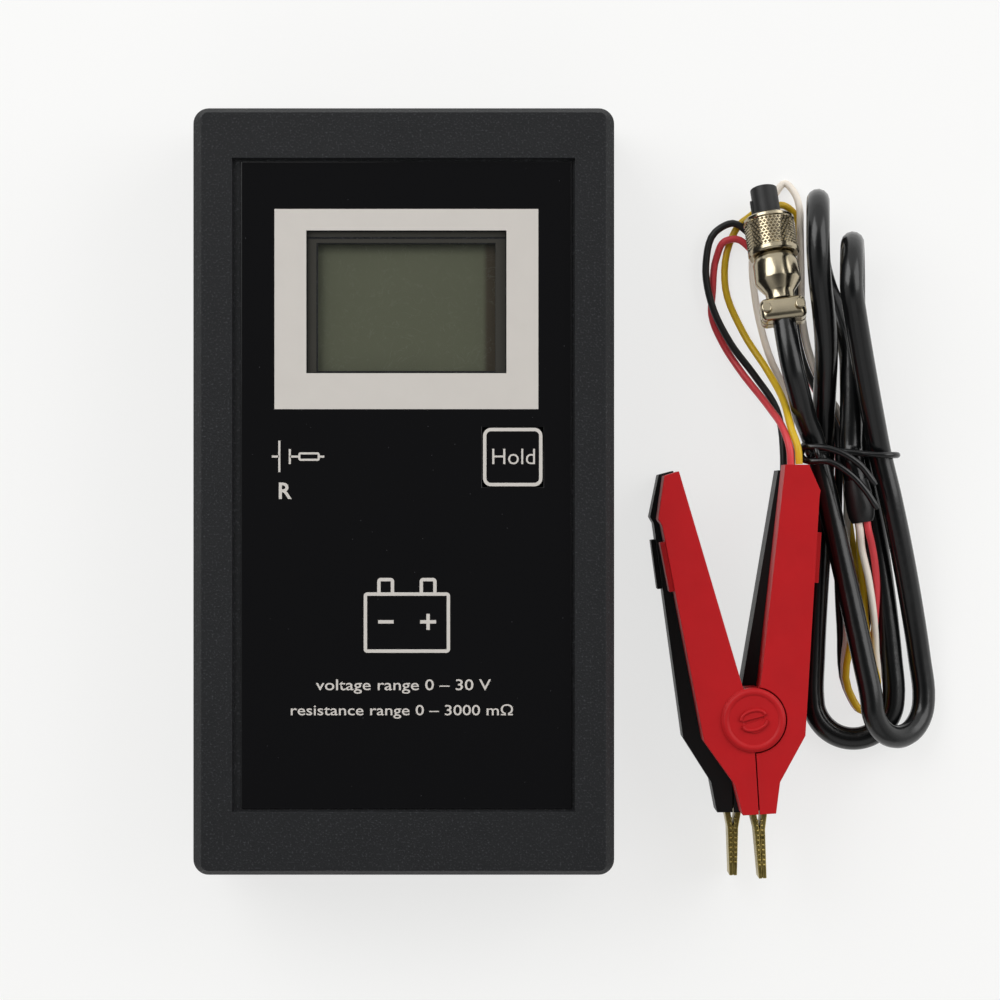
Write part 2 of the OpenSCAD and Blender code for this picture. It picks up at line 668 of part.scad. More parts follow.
// Board and what stands on it. Its parts share the length left bare below the display's holder.
board_bare = window_y - glass_l / 2 - holder_wall - pcb_y0;
amp_pitch = board_bare * 0.173;
chip_w = amp_pitch * 1.1;
chip_t = 1.5;
amp_w = 5;
amp_l = amp_pitch * 0.45;
amp_count = 3;
cap_d = amp_pitch * 0.55;
cap_h = 6.5;
chips_from_back = board_bare * 0.27;
chips_y = pcb_y0 + chips_from_back;
module main_pcb() color(board_green) difference() {
  slab(pcb_w, pcb_y1 - pcb_y0, pcb_t, 0, (pcb_y0 + pcb_y1) / 2, pcb_z);
  for (p = pcb_screw_places) post(pcb_screw_d + 2 * fit_gap, pcb_t + 2 * over, p, pcb_z - over);
}
module mcu_chip() color(chip_black) slab(chip_w, chip_w, chip_t, -chip_w / 2, chips_y + chip_w, pcb_top);
module analog_chips() color(chip_black) for (k = [0 : amp_count - 1])
  slab(amp_w, amp_l, chip_t, -chip_w * 2.5, chips_y + k * amp_pitch, pcb_top);
module pcb_capacitors() color("#2b3f74") for (k = [0 : amp_count - 1])
  post(cap_d, cap_h, [chip_w * 1.5, chips_y - cap_d - over + k * amp_pitch], pcb_top);
module pcb_header() color("#e4e0d2")
  slab(header_w, header_l, header_h, socket_x, header_y, pcb_z - header_h);
module pcb_screws() color(steel) for (p = pcb_screw_places) {
  post(pcb_screw_d * 2, pcb_head_h, p, pcb_z - pcb_head_h);
  post(pcb_screw_d - 2 * fit_gap, pcb_screw_l + pcb_head_h / 2, p, pcb_z - pcb_head_h / 2);
}

// Input socket
module socket_shell() color(nickel) difference() {
  union() {
    facing_out(socket_x, well_floor) cylinder(d = collar_d, h = collar_end - well_floor);
    facing_out(socket_x, well_floor) cylinder(d = flange_d, h = flange_t);
    facing_out(socket_x, well_floor - neck_l) cylinder(d = neck_d, h = neck_l + flange_t / 2);
  }
  facing_out(socket_x, well_floor - neck_l - over)
    cylinder(d = socket_bore_d, h = collar_end - well_floor + neck_l + 2 * over);
}
pin_spots = [for (a = [45 : 90 : 315]) [pin_circle_r * cos(a), pin_circle_r * sin(a)]];
insert_end = collar_end - socket_bore_l;
module socket_insert() color(chip_black) difference() {
  facing_out(socket_x, well_floor - neck_l)
    cylinder(d = socket_bore_d - 2 * run_gap, h = insert_end - well_floor + neck_l);
  for (p = pin_spots) facing_out(socket_x + p[0], well_floor - neck_l - over) translate([0, p[1], 0])
    cylinder(d = socket_pin_d + 2 * run_gap, h = insert_end - well_floor + neck_l + 2 * over);
}
module socket_pins() color(brass) for (p = pin_spots)
  facing_out(socket_x + p[0], tail_y) translate([0, p[1], 0])
    cylinder(d = socket_pin_d, h = collar_end - over - tail_y);
module socket_nut() color(nickel) facing_out(socket_x, well_floor - cup_floor_t - socket_nut_t - run_gap)
  difference() {
    cylinder(d = nut_af / cos(30), h = socket_nut_t, $fn = 6);
    translate([0, 0, -over]) cylinder(d = neck_d + 2 * run_gap, h = socket_nut_t + 2 * over);
  }
module socket_harness() color("#b23a2e") for (k = [0 : 3]) {
  p = pin_spots[k];
  x1 = socket_x + (k - 1.5) * (harness_d + 2 * fit_gap) * 1.4;
  z1 = pcb_z - header_h / 2;
  z0 = parting_z - p[1];
  y1 = header_y + header_l / 2;
  sweep([[socket_x + p[0], tail_y, z0], [socket_x + p[0], tail_y - over, z0],
    [x1, y1 + over, z1], [x1, y1, z1]], socket_pin_d, 8);
}

// Power switch
module power_switch_body() color(steel) difference() {
  slab(switch_body_w, switch_body_l, switch_body_h, switch_x, panel_y - switch_body_l / 2,
    parting_z - switch_body_h / 2);
  slab(slider_w + switch_travel + 2 * slot_margin, switch_body_l, slider_h + 2 * slot_margin,
    switch_x, panel_y, parting_z - slider_h / 2 - slot_margin);
}
module power_switch_slider() color(chip_black)
  slab(slider_w, switch_body_l / 2 - slot_margin + panel_t + slider_out, slider_h,
    switch_x - switch_travel / 2,
    panel_y + (panel_t + slider_out - switch_body_l / 2 + slot_margin) / 2, parting_z - slider_h / 2);

// Battery bay
module battery_door() color(abs_black) difference() {
  union() {
    slab(door_w, door_l, door_t, 0, (door_l - case_l) / 2, 0);
    slab(door_w + 2 * rail_w, door_l, rail_t, 0, (door_l - case_l) / 2, rail_z);
  }
  for (k = [0 : ridge_count - 1]) slab(door_w * ridge_l_share, ridge_w, ridge_depth + over, 0,
    -case_l / 2 + ridge_pitch * (k + 2), -over);
}
module battery_9v() color("#3b3f46") {
  slab(cell_l, cell_w, cell_t, cell_x0 + cell_l / 2, bay_y, cell_z);
  for (sy = [-1, 1]) translate([cell_x0 + cell_l, bay_y + sy * terminal_pitch / 2, cell_z + cell_t / 2])
    rotate([0, 90, 0]) cylinder(d = terminal_d, h = terminal_h);
}
module battery_snap() color(chip_black) difference() {
  slab(snap_t, cell_w - 4 * bay_gap, cell_t * 0.7, cell_x0 + cell_l + fit_gap + snap_t / 2, bay_y,
    cell_z + cell_t * 0.15);
  for (sy = [-1, 1]) translate([cell_x0 + cell_l, bay_y + sy * terminal_pitch / 2, cell_z + cell_t / 2])
    rotate([0, 90, 0]) cylinder(d = terminal_d + 2 * fit_gap, h = terminal_h + fit_gap);
}
module battery_leads() for (k = [0, 1]) color(k == 0 ? "#b5151c" : "#151516") {
  x0 = cell_x0 + cell_l + fit_gap + snap_t;
  y0 = bay_y + (k - 0.5) * terminal_pitch / 2;
  z0 = cell_z + cell_t * 0.75;
  y1 = pcb_y0 + 2 * boss_d + k * 3 * harness_d;
  sweep([[x0, y0, z0], [x0 + bay_wall / 2, y0, z0], [x0 + 3 * bay_wall, y0, z0],
    [x0 + 4 * bay_wall, y0 + bay_wall, z0 - harness_d],
    [x0 + 4 * bay_wall, y1 - 2 * bay_wall, parting_z - snap_t],
    [x0 + 3 * bay_wall, y1, pcb_z - 2 * harness_d], [x0 + 3 * bay_wall, y1, pcb_z]], harness_d, 8);
}
module battery_pad() color("#55595c")
  slab(cell_l - 4 * pad_t, cell_w - 4 * pad_t, pad_t, cell_x0 + cell_l / 2, bay_y, bay_top - pad_t);
module case_screws() color(steel) for (p = screw_places) {
  post(screw_head_d, screw_head_h, p, head_sink - screw_head_h);
  post(case_screw_d - 4 * slide_gap, screw_l - head_sink + over, p, head_sink - over);
}

// Plug, in a frame whose +Z runs from its tip to its cable end, +Y to the right and +X down
module on_plug(s = 0) {
  translate(plug_point(s)) rotate([0, 90 - plug_rise, plug_heading - 90]) children();
}
module plug_insert() color(chip_black) difference() {
  union() {
    on_plug() cylinder(d = insert_d, h = lip_s + shell_lip_t);
    on_plug(key_ridge_start) translate([-key_ridge_w / 2, -insert_d / 2 - key_ridge_h, 0])
      cube([key_ridge_w, insert_d / 2, insert_out - key_ridge_start - fit_gap]);
  }
  for (p = pin_spots) on_plug(-over) translate([p[0], p[1], 0])
    cylinder(d = contact_d + 2 * run_gap, h = tube_end_s);
}
module plug_pins() color(brass) for (p = pin_spots) on_plug(fit_gap * 3) translate([p[0], p[1], 0])
  cylinder(d = contact_d, h = lip_s);
module plug_shell() color(nickel) {
  difference() {
    union() {
      on_plug(nut_s + fit_gap) cylinder(r = shell_r, h = barrel_s + barrel_lead - nut_s - fit_gap);
      on_plug(lip_s) cylinder(r = shell_lip_r, h = shell_lip_t);
    }
    on_plug(-over) cylinder(d = insert_d + 2 * run_gap, h = lip_s + shell_lip_t + over + run_gap);
  }
  on_plug(barrel_s) cylinder(d1 = barrel_lead_d, d2 = barrel_d, h = barrel_lead);
  on_plug(barrel_s + barrel_lead) cylinder(d = barrel_d, h = barrel_l);
  on_plug(barrel_end_s) cylinder(d1 = barrel_d, d2 = waist_d, h = barrel_taper);
  on_plug(waist_s) cylinder(d = waist_d, h = waist_l);
}
module coupling_nut() color(nickel) difference() {
  on_plug(nut_s) cylinder(d = nut_d, h = nut_l);
  on_plug(nut_s - over) cylinder(r = nut_bore_r, h = nut_l - nut_back_t + over);
  on_plug(nut_s) cylinder(r = shell_r + run_gap, h = nut_l + over);
}
module cable_clamp() color(nickel) difference() {
  on_plug(tube_end_s) translate([-clamp_h / 2, -clamp_w / 2, 0]) cube([clamp_h, clamp_w, clamp_l]);
  on_plug(tube_end_s - over) cylinder(d = cable_d + 2 * fit_gap, h = clamp_l + 2 * over);
  for (sy = [-1, 1]) on_plug(tube_end_s + clamp_l / 2)
    translate([-clamp_h / 2 - over, sy * clamp_screw_pitch / 2, 0]) rotate([0, 90, 0])
      cylinder(d = clamp_screw_d + 2 * run_gap, h = clamp_h);
}
module clamp_screws() color(steel) for (sy = [-1, 1])
  on_plug(tube_end_s + clamp_l / 2) translate([-clamp_h / 2, sy * clamp_screw_pitch / 2, 0]) {
    rotate([0, 90, 0]) cylinder(d = clamp_screw_d, h = clamp_h - 2 * over);
    rotate([0, -90, 0]) cylinder(d = clamp_head_d, h = clamp_head_h);
  }

// Cable, sleeve, tie and wires
module lead_cable() color(pvc_black) sweep(cable_route, cable_d, 6);
module breakout_sleeve() color(pvc_black) sweep([sleeve_start, sleeve_end], sleeve_d, 16);
tie_r = (cable_d + tie_d) / 2 + fit_gap + slide_gap;
tie_slack = 0.3;
tie_slope = -0.09;
tie_step = -29;
function round_strand(w, a, r) = [w[0] + r * cos(a),
  tie_y + tie_slope * (w[0] - waist_4[0]), w[1] + r * sin(a)];
// Round each outer strand from one angle to another, ending just short of where it starts
tie_turns = [[waist_0, 190, 90, 2 * tie_slack], [waist_4, 90, 90, 0], [waist_1, 90, -30, tie_slack],
  [waist_2, -37, -90, 0], [waist_3, -90, -161, 0], [waist_0, -158, -158, tie_slack]];
tie_loop = [for (t = tie_turns, a = [t[1] : tie_step : t[2]]) round_strand(t[0], a, tie_r + t[3])];
module cable_tie() color(pvc_black) sweep(tie_loop, tie_d, 6);
function wire_start(sx, sz) = let (d = unit(sleeve_end - sleeve_start),
  p = sleeve_end + sx * wire_row * unit(cross([0, 0, 1], d)) + [0, 0, sz * wire_row])
  [p, p + d * wire_d];
rear_share_x = (lever_shares[2][0] + lever_shares[3][0]) / 2;
rear_share_y = (lever_shares[2][1] + lever_shares[3][1]) / 2;
function wire_end(c, side) = let (x = rear_share_x * lever_half_w + side * wire_row,
  y = rear_share_y * lever_l + fit_gap) [clip_point(c, [x, y + 2 * wire_d, clip_h / 2]),
  clip_point(c, [x, y, clip_h / 2])];
module wire(route, c, side, sx, sz) sweep(concat(wire_start(sx, sz), route, wire_end(c, side)),
  wire_d, 8);
module wire_white() color("#f3e9dc") wire(white_route, black_clip, 1, -1, 1);
module wire_red() color("#d8434a") wire(red_route, red_clip, -1, 1, 1);
module wire_yellow() color("#d9b21e") wire(yellow_route, red_clip, 1, -1, -1);
module wire_black() color("#161616") wire(black_route, black_clip, -1, 1, -1);

// Clips: pivot at the origin, levers along +Y, jaws along -Y, the fixed half on the right
module at_clip(c) translate([c[0], c[1], c[3]]) rotate([0, 0, c[2]]) children();
function half_outline(shares) = concat([for (p = nose_shares) [p[0] * lever_half_w, p[1] * nose_l]],
  [for (p = shares) [p[0] * lever_half_w, p[1] * lever_l]]);
module half_body(shares) {
  outline = half_outline(shares);
  lean = atan2((shares[0][0] - nose_shares[3][0]) * lever_half_w,
    shares[0][1] * lever_l - nose_shares[3][1] * nose_l);
  difference() {
    union() {
      linear_extrude(clip_h) polygon(outline);
      translate([0, 0, tab_z]) linear_extrude(clip_h - 2 * tab_z)
        translate([outline[3][0], outline[3][1]]) rotate(-lean)
          translate([-tab_sink, tab_start_share * lever_l])
            square([tab_sink + tab_out, tab_l_share * lever_l]);
    }
    translate([0, 0, -over]) linear_extrude(clip_h - pocket_top + over) intersection() {
      offset(delta = -pocket_wall) polygon(outline);
      translate([0, pocket_y0_share * lever_l])
        square([lever_half_w, (pocket_y1_share - pocket_y0_share) * lever_l]);
    }
    translate([0, -nose_l - over, (clip_h - jaw_h) / 2 - fit_gap])
      cube([jaw_root_x + jaw_root_t + fit_gap, jaw_root + over, jaw_h + 2 * fit_gap]);
    translate([spring_coil_r, 0, spring_z - level_gap / 2]) rotate([0, 0, -spring_leg_turn])
      translate([-spring_slot_w / 2, 0, 0]) cube([spring_slot_w, spring_leg_l + over,
        spring_room - level_gap]);
  }
}
module ring_cut(r, z0, z1) translate([0, 0, z0]) cylinder(r = r, h = z1 - z0);
module fixed_lever() difference() {
  union() {
    difference() {
      half_body(lever_shares);
      ring_cut(pivot_r + knuckle_gap, -over, foot_t + level_gap / 2);
      ring_cut(pivot_r + knuckle_gap, cover_z - level_gap / 2, clip_h + over);
    }
    ring_cut(pivot_r, knuckle_low_z, knuckle_low_z + mid_knuckle_t);
    ring_cut(pivot_r, knuckle_high_z, knuckle_high_z + mid_knuckle_t);
  }
  ring_cut(spring_coil_r + spring_slot_w, knuckle_low_z + mid_knuckle_t, knuckle_high_z);
  ring_cut(pin_d / 2 + run_gap / 2, -over, clip_h + over);
}
module moving_lever() difference() {
  union() {
    difference() {
      mirror([1, 0, 0]) half_body(moving_lever_shares);
      ring_cut(pivot_r + knuckle_gap, foot_t, cover_z);
    }
    ring_cut(pivot_r, 0, foot_t);
    ring_cut(pivot_r, cover_z, cover_z + cover_t);
  }
  ring_cut(pin_d / 2 + run_gap, -over, clip_h + over);
}
module pivot_pin() difference() {
  union() {
    translate([0, 0, fit_gap]) cylinder(d = pin_d, h = cover_z + cover_t);
    translate([0, 0, cover_z + cover_t]) cylinder(r = pin_head_r, h = pin_head_t);
  }
  rotate([0, 0, pin_slot_turn]) translate([-pin_head_r - over, -pin_slot_w / 2,
    cover_z + cover_t - pin_slot_h]) cube([2 * (pin_head_r + over), pin_slot_w, pin_slot_h + over]);
}
spring_mid_z = spring_z + spring_wire_d / 2;
spring_pitch = spring_room - 2 * level_gap - spring_wire_d;
spring_rings = 12;
function leg_end(side) = [side * (spring_coil_r + spring_leg_l * sin(spring_leg_turn)),
  spring_leg_l * cos(spring_leg_turn)];
spring_path = concat(
  [[leg_end(1)[0], leg_end(1)[1], spring_mid_z]],
  [for (k = [0 : spring_rings * (spring_turns + 0.5)]) let (a = 360 * k / spring_rings)
    [spring_coil_r * cos(a), -spring_coil_r * sin(a),
      spring_mid_z + spring_pitch * k / (spring_rings * (spring_turns + 0.5))]],
  [[leg_end(-1)[0], leg_end(-1)[1], spring_mid_z + spring_pitch]]);
module torsion_spring() color(steel) sweep(spring_path, spring_wire_d, 6);
module jaw(side) color(brass) translate([0, 0, (clip_h - jaw_h) / 2]) linear_extrude(jaw_h) polygon([
  [side * jaw_root_x, -nose_l + jaw_root - fit_gap],
  [side * (jaw_root_x + jaw_root_t), -nose_l + jaw_root - fit_gap],
  [side * (jaw_root_x + jaw_root_t), -nose_l],
  [side * (jaw_gap + jaw_t * 1.4), -nose_l - jaw_bend],
  [side * (jaw_gap + jaw_t), -jaw_reach], [side * jaw_gap, -jaw_reach],
  [side * jaw_gap, -nose_l - jaw_bend], [side * jaw_root_x, -nose_l]]);

module red_clip_fixed_lever() color(clip_red) at_clip(red_clip) fixed_lever();
module red_clip_moving_lever() color(clip_red) at_clip(red_clip) moving_lever();
module red_clip_pin() color(clip_red) at_clip(red_clip) pivot_pin();
module red_clip_spring() at_clip(red_clip) torsion_spring();
module red_clip_fixed_jaw() at_clip(red_clip) jaw(1);
module red_clip_moving_jaw() at_clip(red_clip) jaw(-1);
module black_clip_fixed_lever() color(clip_black) at_clip(black_clip) fixed_lever();
module black_clip_moving_lever() color(clip_black) at_clip(black_clip) moving_lever();
module black_clip_pin() color(clip_black) at_clip(black_clip) pivot_pin();
module black_clip_spring() at_clip(black_clip) torsion_spring();
module black_clip_fixed_jaw() at_clip(black_clip) jaw(1);
module black_clip_moving_jaw() at_clip(black_clip) jaw(-1);

front_case();
rear_case();
end_panel();
graphic_overlay();
display_window();
hold_key();
tact_switch();
tact_plunger();
lcd_glass();
lcd_holder();
lcd_contact_strips();
lcd_backlight();
main_pcb();
mcu_chip();
analog_chips();
pcb_capacitors();
pcb_header();
pcb_screws();
socket_shell();
socket_insert();
socket_pins();
socket_nut();
socket_harness();
power_switch_body();
power_switch_slider();
battery_door();
battery_9v();
battery_snap();
battery_leads();
battery_pad();
case_screws();
plug_insert();
plug_pins();
plug_shell();
coupling_nut();
cable_clamp();
clamp_screws();
lead_cable();
breakout_sleeve();
cable_tie();
wire_white();
wire_red();
wire_yellow();
wire_black();
red_clip_fixed_lever();
red_clip_moving_lever();
red_clip_pin();
red_clip_spring();
red_clip_fixed_jaw();
red_clip_moving_jaw();
black_clip_fixed_lever();
black_clip_moving_lever();
black_clip_pin();
black_clip_spring();
black_clip_fixed_jaw();
black_clip_moving_jaw();
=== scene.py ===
"""Dresses a handheld battery tester and its tied lead set for a render from straight above.

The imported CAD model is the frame: X right, Y towards the display end, Z out of the meter's face.
Sizes are written in millimetres and become metres where a mesh is made.
"""
import json
import math
from functools import partial

import bmesh
import bpy
from bpy.props import FloatProperty, FloatVectorProperty, IntProperty, PointerProperty
from mathutils import Matrix, Vector


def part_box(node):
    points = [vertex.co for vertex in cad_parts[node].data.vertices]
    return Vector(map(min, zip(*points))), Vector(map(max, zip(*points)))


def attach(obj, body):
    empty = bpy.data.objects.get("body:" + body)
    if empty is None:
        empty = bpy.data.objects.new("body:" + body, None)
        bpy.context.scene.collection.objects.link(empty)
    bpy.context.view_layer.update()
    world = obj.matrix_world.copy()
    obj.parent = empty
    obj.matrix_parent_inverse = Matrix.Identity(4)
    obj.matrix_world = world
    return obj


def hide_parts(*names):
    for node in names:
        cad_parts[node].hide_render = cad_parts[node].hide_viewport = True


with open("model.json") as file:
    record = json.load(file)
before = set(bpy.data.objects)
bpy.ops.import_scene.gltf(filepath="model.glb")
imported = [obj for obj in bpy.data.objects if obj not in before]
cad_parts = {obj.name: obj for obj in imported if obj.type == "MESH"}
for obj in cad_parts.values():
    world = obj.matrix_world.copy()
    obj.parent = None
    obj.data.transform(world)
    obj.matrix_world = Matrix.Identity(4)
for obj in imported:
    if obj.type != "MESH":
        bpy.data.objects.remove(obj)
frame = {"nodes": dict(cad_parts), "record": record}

bl_info = {
    "name": "Battery tester",
    "version": (1, 0, 0),
    "blender": (4, 5, 0),
    "location": "View3D > Sidebar > Tester",
    "description": "Dresses a handheld battery tester and its clip leads",
    "category": "Object",
}

MM = 0.001


# ---- colours and properties

def linear(code):
    """An sRGB hex colour as linear RGBA."""
    values = [int(code[i:i + 2], 16) / 255 for i in (1, 3, 5)]
    return [v / 12.92 if v <= 0.04045 else ((v + 0.055) / 1.055) ** 2.4 for v in values] + [1.0]


def colour(name, description, code):
    """A colour property from a hex value."""
    return FloatVectorProperty(name=name, description=description, default=linear(code),
                               size=4, min=0, max=1, subtype="COLOR")


def length(name, description, millimetres):
    """A length property whose default is given in millimetres."""
    return FloatProperty(name=name, description=description, default=millimetres * MM,
                         min=0, unit="LENGTH", precision=5)


class CaseLooks(bpy.types.PropertyGroup):
    plastic: colour("Case plastic", "Black moulded plastic of the two case halves", "#1d1e20")
    edge: length("Case edge", "Radius of the case's outer edges", 0.45)
    grain: length("Spark grain", "Size of one pit of the spark-eroded texture", 0.4)


class PanelLooks(bpy.types.PropertyGroup):
    film: colour("Panel film", "Glossy black film", "#0b0b0d")
    ink: colour("Ink", "Pale grey printing ink", "#cfcac4")
    frame_stroke_top: length("Frame top", "Height of the display frame's upper band", 4.29)
    frame_stroke_side: length("Frame side", "Width of the display frame's side bands", 6.38)
    stroke: length("Symbol stroke", "Width of the lines in the small symbols", 0.42)
    bold_stroke: length("Bold stroke", "Width of the key's outline and the battery picture's lines", 0.68)


class DisplayLooks(bpy.types.PropertyGroup):
    glass: colour("Display", "Grey green of the blank liquid crystal", "#646755")
    band: colour("Display side", "Dark brown at the display's right edge", "#4b4438")
    # Colour of the dark border on the display's left, right and top: partly its bezel, partly painted shade
    # from the window's walls.
    mask: colour("Display mask", "Olive border printed under the window", "#33312a")


class PlugLooks(bpy.types.PropertyGroup):
    nickel: colour("Nickel", "Warm bright nickel plate", "#b5aa92")
    knurl_count: IntProperty(name="Knurl count", description="Knurls round the nut", default=36, min=12, max=80)
    knurl_rows: IntProperty(name="Knurl rows", description="Rows of knurls along the nut",
                            default=9, min=3, max=20)
    knurl_height: length("Knurl height", "How far a knurl stands out", 0.36)


class LeadLooks(bpy.types.PropertyGroup):
    cable: length("Cable", "Diameter of the cable", 4.8)
    wire: length("Wire", "Diameter of a wire", 1.5)
    jacket: colour("Jacket", "Glossy black cable jacket", "#0c0d0e")
    red: colour("Red wire", "Insulation of the red wire", "#d8434a")
    yellow: colour("Yellow wire", "Insulation of the yellow wire", "#d9b21e")
    white: colour("White wire", "Insulation of the white wire", "#f3e9dc")
    tie: length("Tie", "Thickness of the coated wire tie", 1.3)


class ClipLooks(bpy.types.PropertyGroup):
    red: colour("Red clip", "Red moulded nylon", "#b60c14")
    black: colour("Black clip", "Black moulded nylon", "#0b0b0c")
    brass: colour("Jaws", "Aged brass of the jaw strips", "#a8975a")
    edge: length("Clip edge", "Radius of the levers' edges", 0.25)
    tooth: length("Tooth", "Pitch of the teeth along the jaws", 1.0)


class StageLooks(bpy.types.PropertyGroup):
    floor: colour("Floor", "Pale table top", "#f7f7f6")
    bleach: FloatProperty(name="Bleach", description="Share of plain white in what is seen of the floor",
                          default=0.72, min=0, max=1, subtype="FACTOR")
    height: length("Camera height", "Camera above the table", 700)
    field: FloatProperty(name="Camera field", description="Angle that the camera sees",
                         default=math.radians(17.03), min=0.05, max=2, subtype="ANGLE")


GROUPS = {"case": CaseLooks, "panel": PanelLooks, "display": DisplayLooks, "plug": PlugLooks,
          "lead": LeadLooks, "clip": ClipLooks, "stage": StageLooks}


def looks(context, group):
    """The settings of one group of pieces."""
    return getattr(context.scene, "tester_" + group)


# ---- materials

def add_node(tree, kind, inputs=None, **settings):
    """Adds a node with its settings; inputs gives each socket a value, or the socket or node that feeds it."""
    new = tree.nodes.new(kind)
    for key, value in settings.items():
        setattr(new, key, value)
    for key, value in (inputs or {}).items():
        if isinstance(value, bpy.types.Node):
            value = value.outputs[0]
        if isinstance(value, bpy.types.NodeSocket):
            tree.links.new(value, new.inputs[key])
        else:
            new.inputs[key].default_value = value
    return new


def shade(rgba, factor):
    """A linear colour made darker or lighter."""
    return [min(1.0, c * factor) for c in rgba[:3]] + [1.0]


def finish(name, rgba, roughness, mottle=6.0, contrast=0.15, grain=0.5, depth=0.0,
           gloss_spread=0.06, paint=None, **shader):
    """A surface whose tone, gloss and relief vary at real sizes, given in millimetres.

    mottle is the size of its tone patches, grain that of its relief and depth the relief's height.
    paint takes the node adder, the place socket and the mottled colour, and returns another colour.
    """
    material = bpy.data.materials.new(name)
    material.use_nodes = True
    material.diffuse_color = rgba
    material.node_tree.nodes.clear()
    add = partial(add_node, material.node_tree)
    place = add("ShaderNodeTexCoord").outputs["Object"]
    patches = add("ShaderNodeTexNoise", {"Vector": place, "Scale": 1 / (mottle * MM), "Detail": 4.0})
    tone = add("ShaderNodeMix", {"Factor": patches, 6: shade(rgba, 1 - contrast), 7: shade(rgba, 1 + contrast)},
               data_type="RGBA").outputs[2]
    if paint:
        tone = paint(add, place, tone)
    # Wear is a little finer than the tone patches, so the two don't show as one pattern.
    rubbed = add("ShaderNodeTexNoise", {"Vector": place, "Scale": 2.3 / (mottle * MM), "Detail": 5.0})
    gloss = add("ShaderNodeMapRange", {"Value": rubbed, "To Min": max(0.02, roughness - gloss_spread),
                                       "To Max": roughness + gloss_spread})
    inputs = {"Base Color": tone, "Roughness": gloss, **shader}
    if depth:
        pits = add("ShaderNodeTexNoise", {"Vector": place, "Scale": 1 / (grain * MM), "Detail": 2.0})
        inputs["Normal"] = add("ShaderNodeBump", {"Height": pits, "Distance": depth * MM, "Strength": 1.0})
    add("ShaderNodeOutputMaterial", {"Surface": add("ShaderNodeBsdfPrincipled", inputs)})
    return material


def material_for(name, *values, **settings):
    """The named material, finished the first time that it is asked for."""
    return bpy.data.materials.get(name) or finish(name, *values, **settings)


def case_plastic(context):
    """ABS with a spark-eroded texture: fine pits, with a soft grey sheen painted over them as paler specks."""
    look = looks(context, "case")

    def sparkle(add, place, tone):
        """Painted highlights: small paler specks between the dark ones, standing in for pits that catch the
        light.
        """
        pits = add("ShaderNodeTexNoise", {"Vector": place, "Scale": 1 / look.grain, "Detail": 3.0})
        # Painted highlight: the highest spots of the pit noise get the paler grey.
        lit = add("ShaderNodeMapRange", {"Value": pits, "From Min": 0.56, "From Max": 0.72, "To Max": 0.55})
        return add("ShaderNodeMix", {"Factor": lit, 6: tone, 7: linear("#4a4b4f")},
                   data_type="RGBA").outputs[2]

    # The pits are drawn at 0.4 mm, about twice their real size, so that they show at this distance.
    return material_for("ABS spark texture", look.plastic, 0.5, mottle=9, contrast=0.12, grain=look.grain / MM,
                        depth=0.09, paint=sparkle, **{"Specular IOR Level": 0.25})


def film_plastic(context):
    """Polyester film printed black from behind: deep black with a clear, sharp gloss and a little dust."""
    def dust(add, place, tone):
        specks = add("ShaderNodeTexVoronoi", {"Vector": place, "Scale": 1 / (2.6 * MM), "Randomness": 1.0})
        small = add("ShaderNodeMath", {0: specks, 1: 0.035}, operation="LESS_THAN")
        faint = add("ShaderNodeMath", {0: small, 1: 0.25}, operation="MULTIPLY")
        return add("ShaderNodeMix", {"Factor": faint, 6: tone, 7: linear("#6d6d70")},
                   data_type="RGBA").outputs[2]

    return material_for("Gloss polyester film", looks(context, "panel").film, 0.08, mottle=30, contrast=0.1,
                        gloss_spread=0.03, paint=dust, IOR=1.5)


def ink(context):
    """Screen printing ink: a flat pale grey with a slight egg-shell gloss."""
    return material_for("Screen print ink", looks(context, "panel").ink, 0.4, mottle=4, contrast=0.03,
                        grain=0.2, depth=0.002, IOR=1.5)


def plated(name, rgba, roughness=0.2):
    """Bright plating over machined metal: mirror-like, with faint turning marks."""
    return material_for(name, rgba, roughness, mottle=2.5, contrast=0.12, grain=0.25, depth=0.006,
                        gloss_spread=0.07, Metallic=1.0)


def nickel_plate(context):
    """Nickel over turned brass: warm and bright."""
    return plated("Nickel plate", looks(context, "plug").nickel)


def zinc_plate():
    """Zinc on steel screws, springs and plates: cooler and duller than the nickel."""
    return plated("Zinc plated steel", linear("#c3c6c8"), 0.3)


def jacket(context):
    """Soft PVC: smooth, black and glossy, with slow waves where it was bent."""
    return material_for("PVC jacket", looks(context, "lead").jacket, 0.22, mottle=5, contrast=0.2, grain=2.2,
                        depth=0.05, IOR=1.53)


def shrunk():
    """Heat-shrunk tube: duller than the jacket that it is drawn over."""
    return material_for("Heat-shrunk tube", linear("#0d0d0e"), 0.45, mottle=4, contrast=0.15, grain=1.0,
                        depth=0.02, IOR=1.5)


def insulation(context, shade_name):
    """Silicone wire insulation: satin, evenly coloured, a little grubby."""
    rgba = linear("#161616") if shade_name == "black" else getattr(looks(context, "lead"), shade_name)
    return material_for("Silicone insulation " + shade_name, rgba, 0.38, mottle=3, contrast=0.08, grain=1.2,
                        depth=0.02, IOR=1.43)


def nylon(context, shade_name):
    """Moulded nylon of the clips: satin, saturated, with fine flow waves."""
    return material_for("Moulded nylon " + shade_name, getattr(looks(context, "clip"), shade_name), 0.52,
                        mottle=7, contrast=0.1, grain=0.8, depth=0.012, **{"Specular IOR Level": 0.3})


def aged_brass(context):
    """Stamped brass gone brown in the hollows and rubbed bright on its edges."""
    def age(add, place, tone):
        stain = add("ShaderNodeTexNoise", {"Vector": place, "Scale": 1 / (1.4 * MM), "Detail": 5.0})
        dark = add("ShaderNodeMapRange", {"Value": stain, "From Min": 0.52, "From Max": 0.75})
        return add("ShaderNodeMix", {"Factor": dark, 6: tone, 7: linear("#6a5d30")},
                   data_type="RGBA").outputs[2]

    return material_for("Aged brass", looks(context, "clip").brass, 0.34, mottle=2, contrast=0.25, grain=0.3,
                        depth=0.01, paint=age, Metallic=1.0)


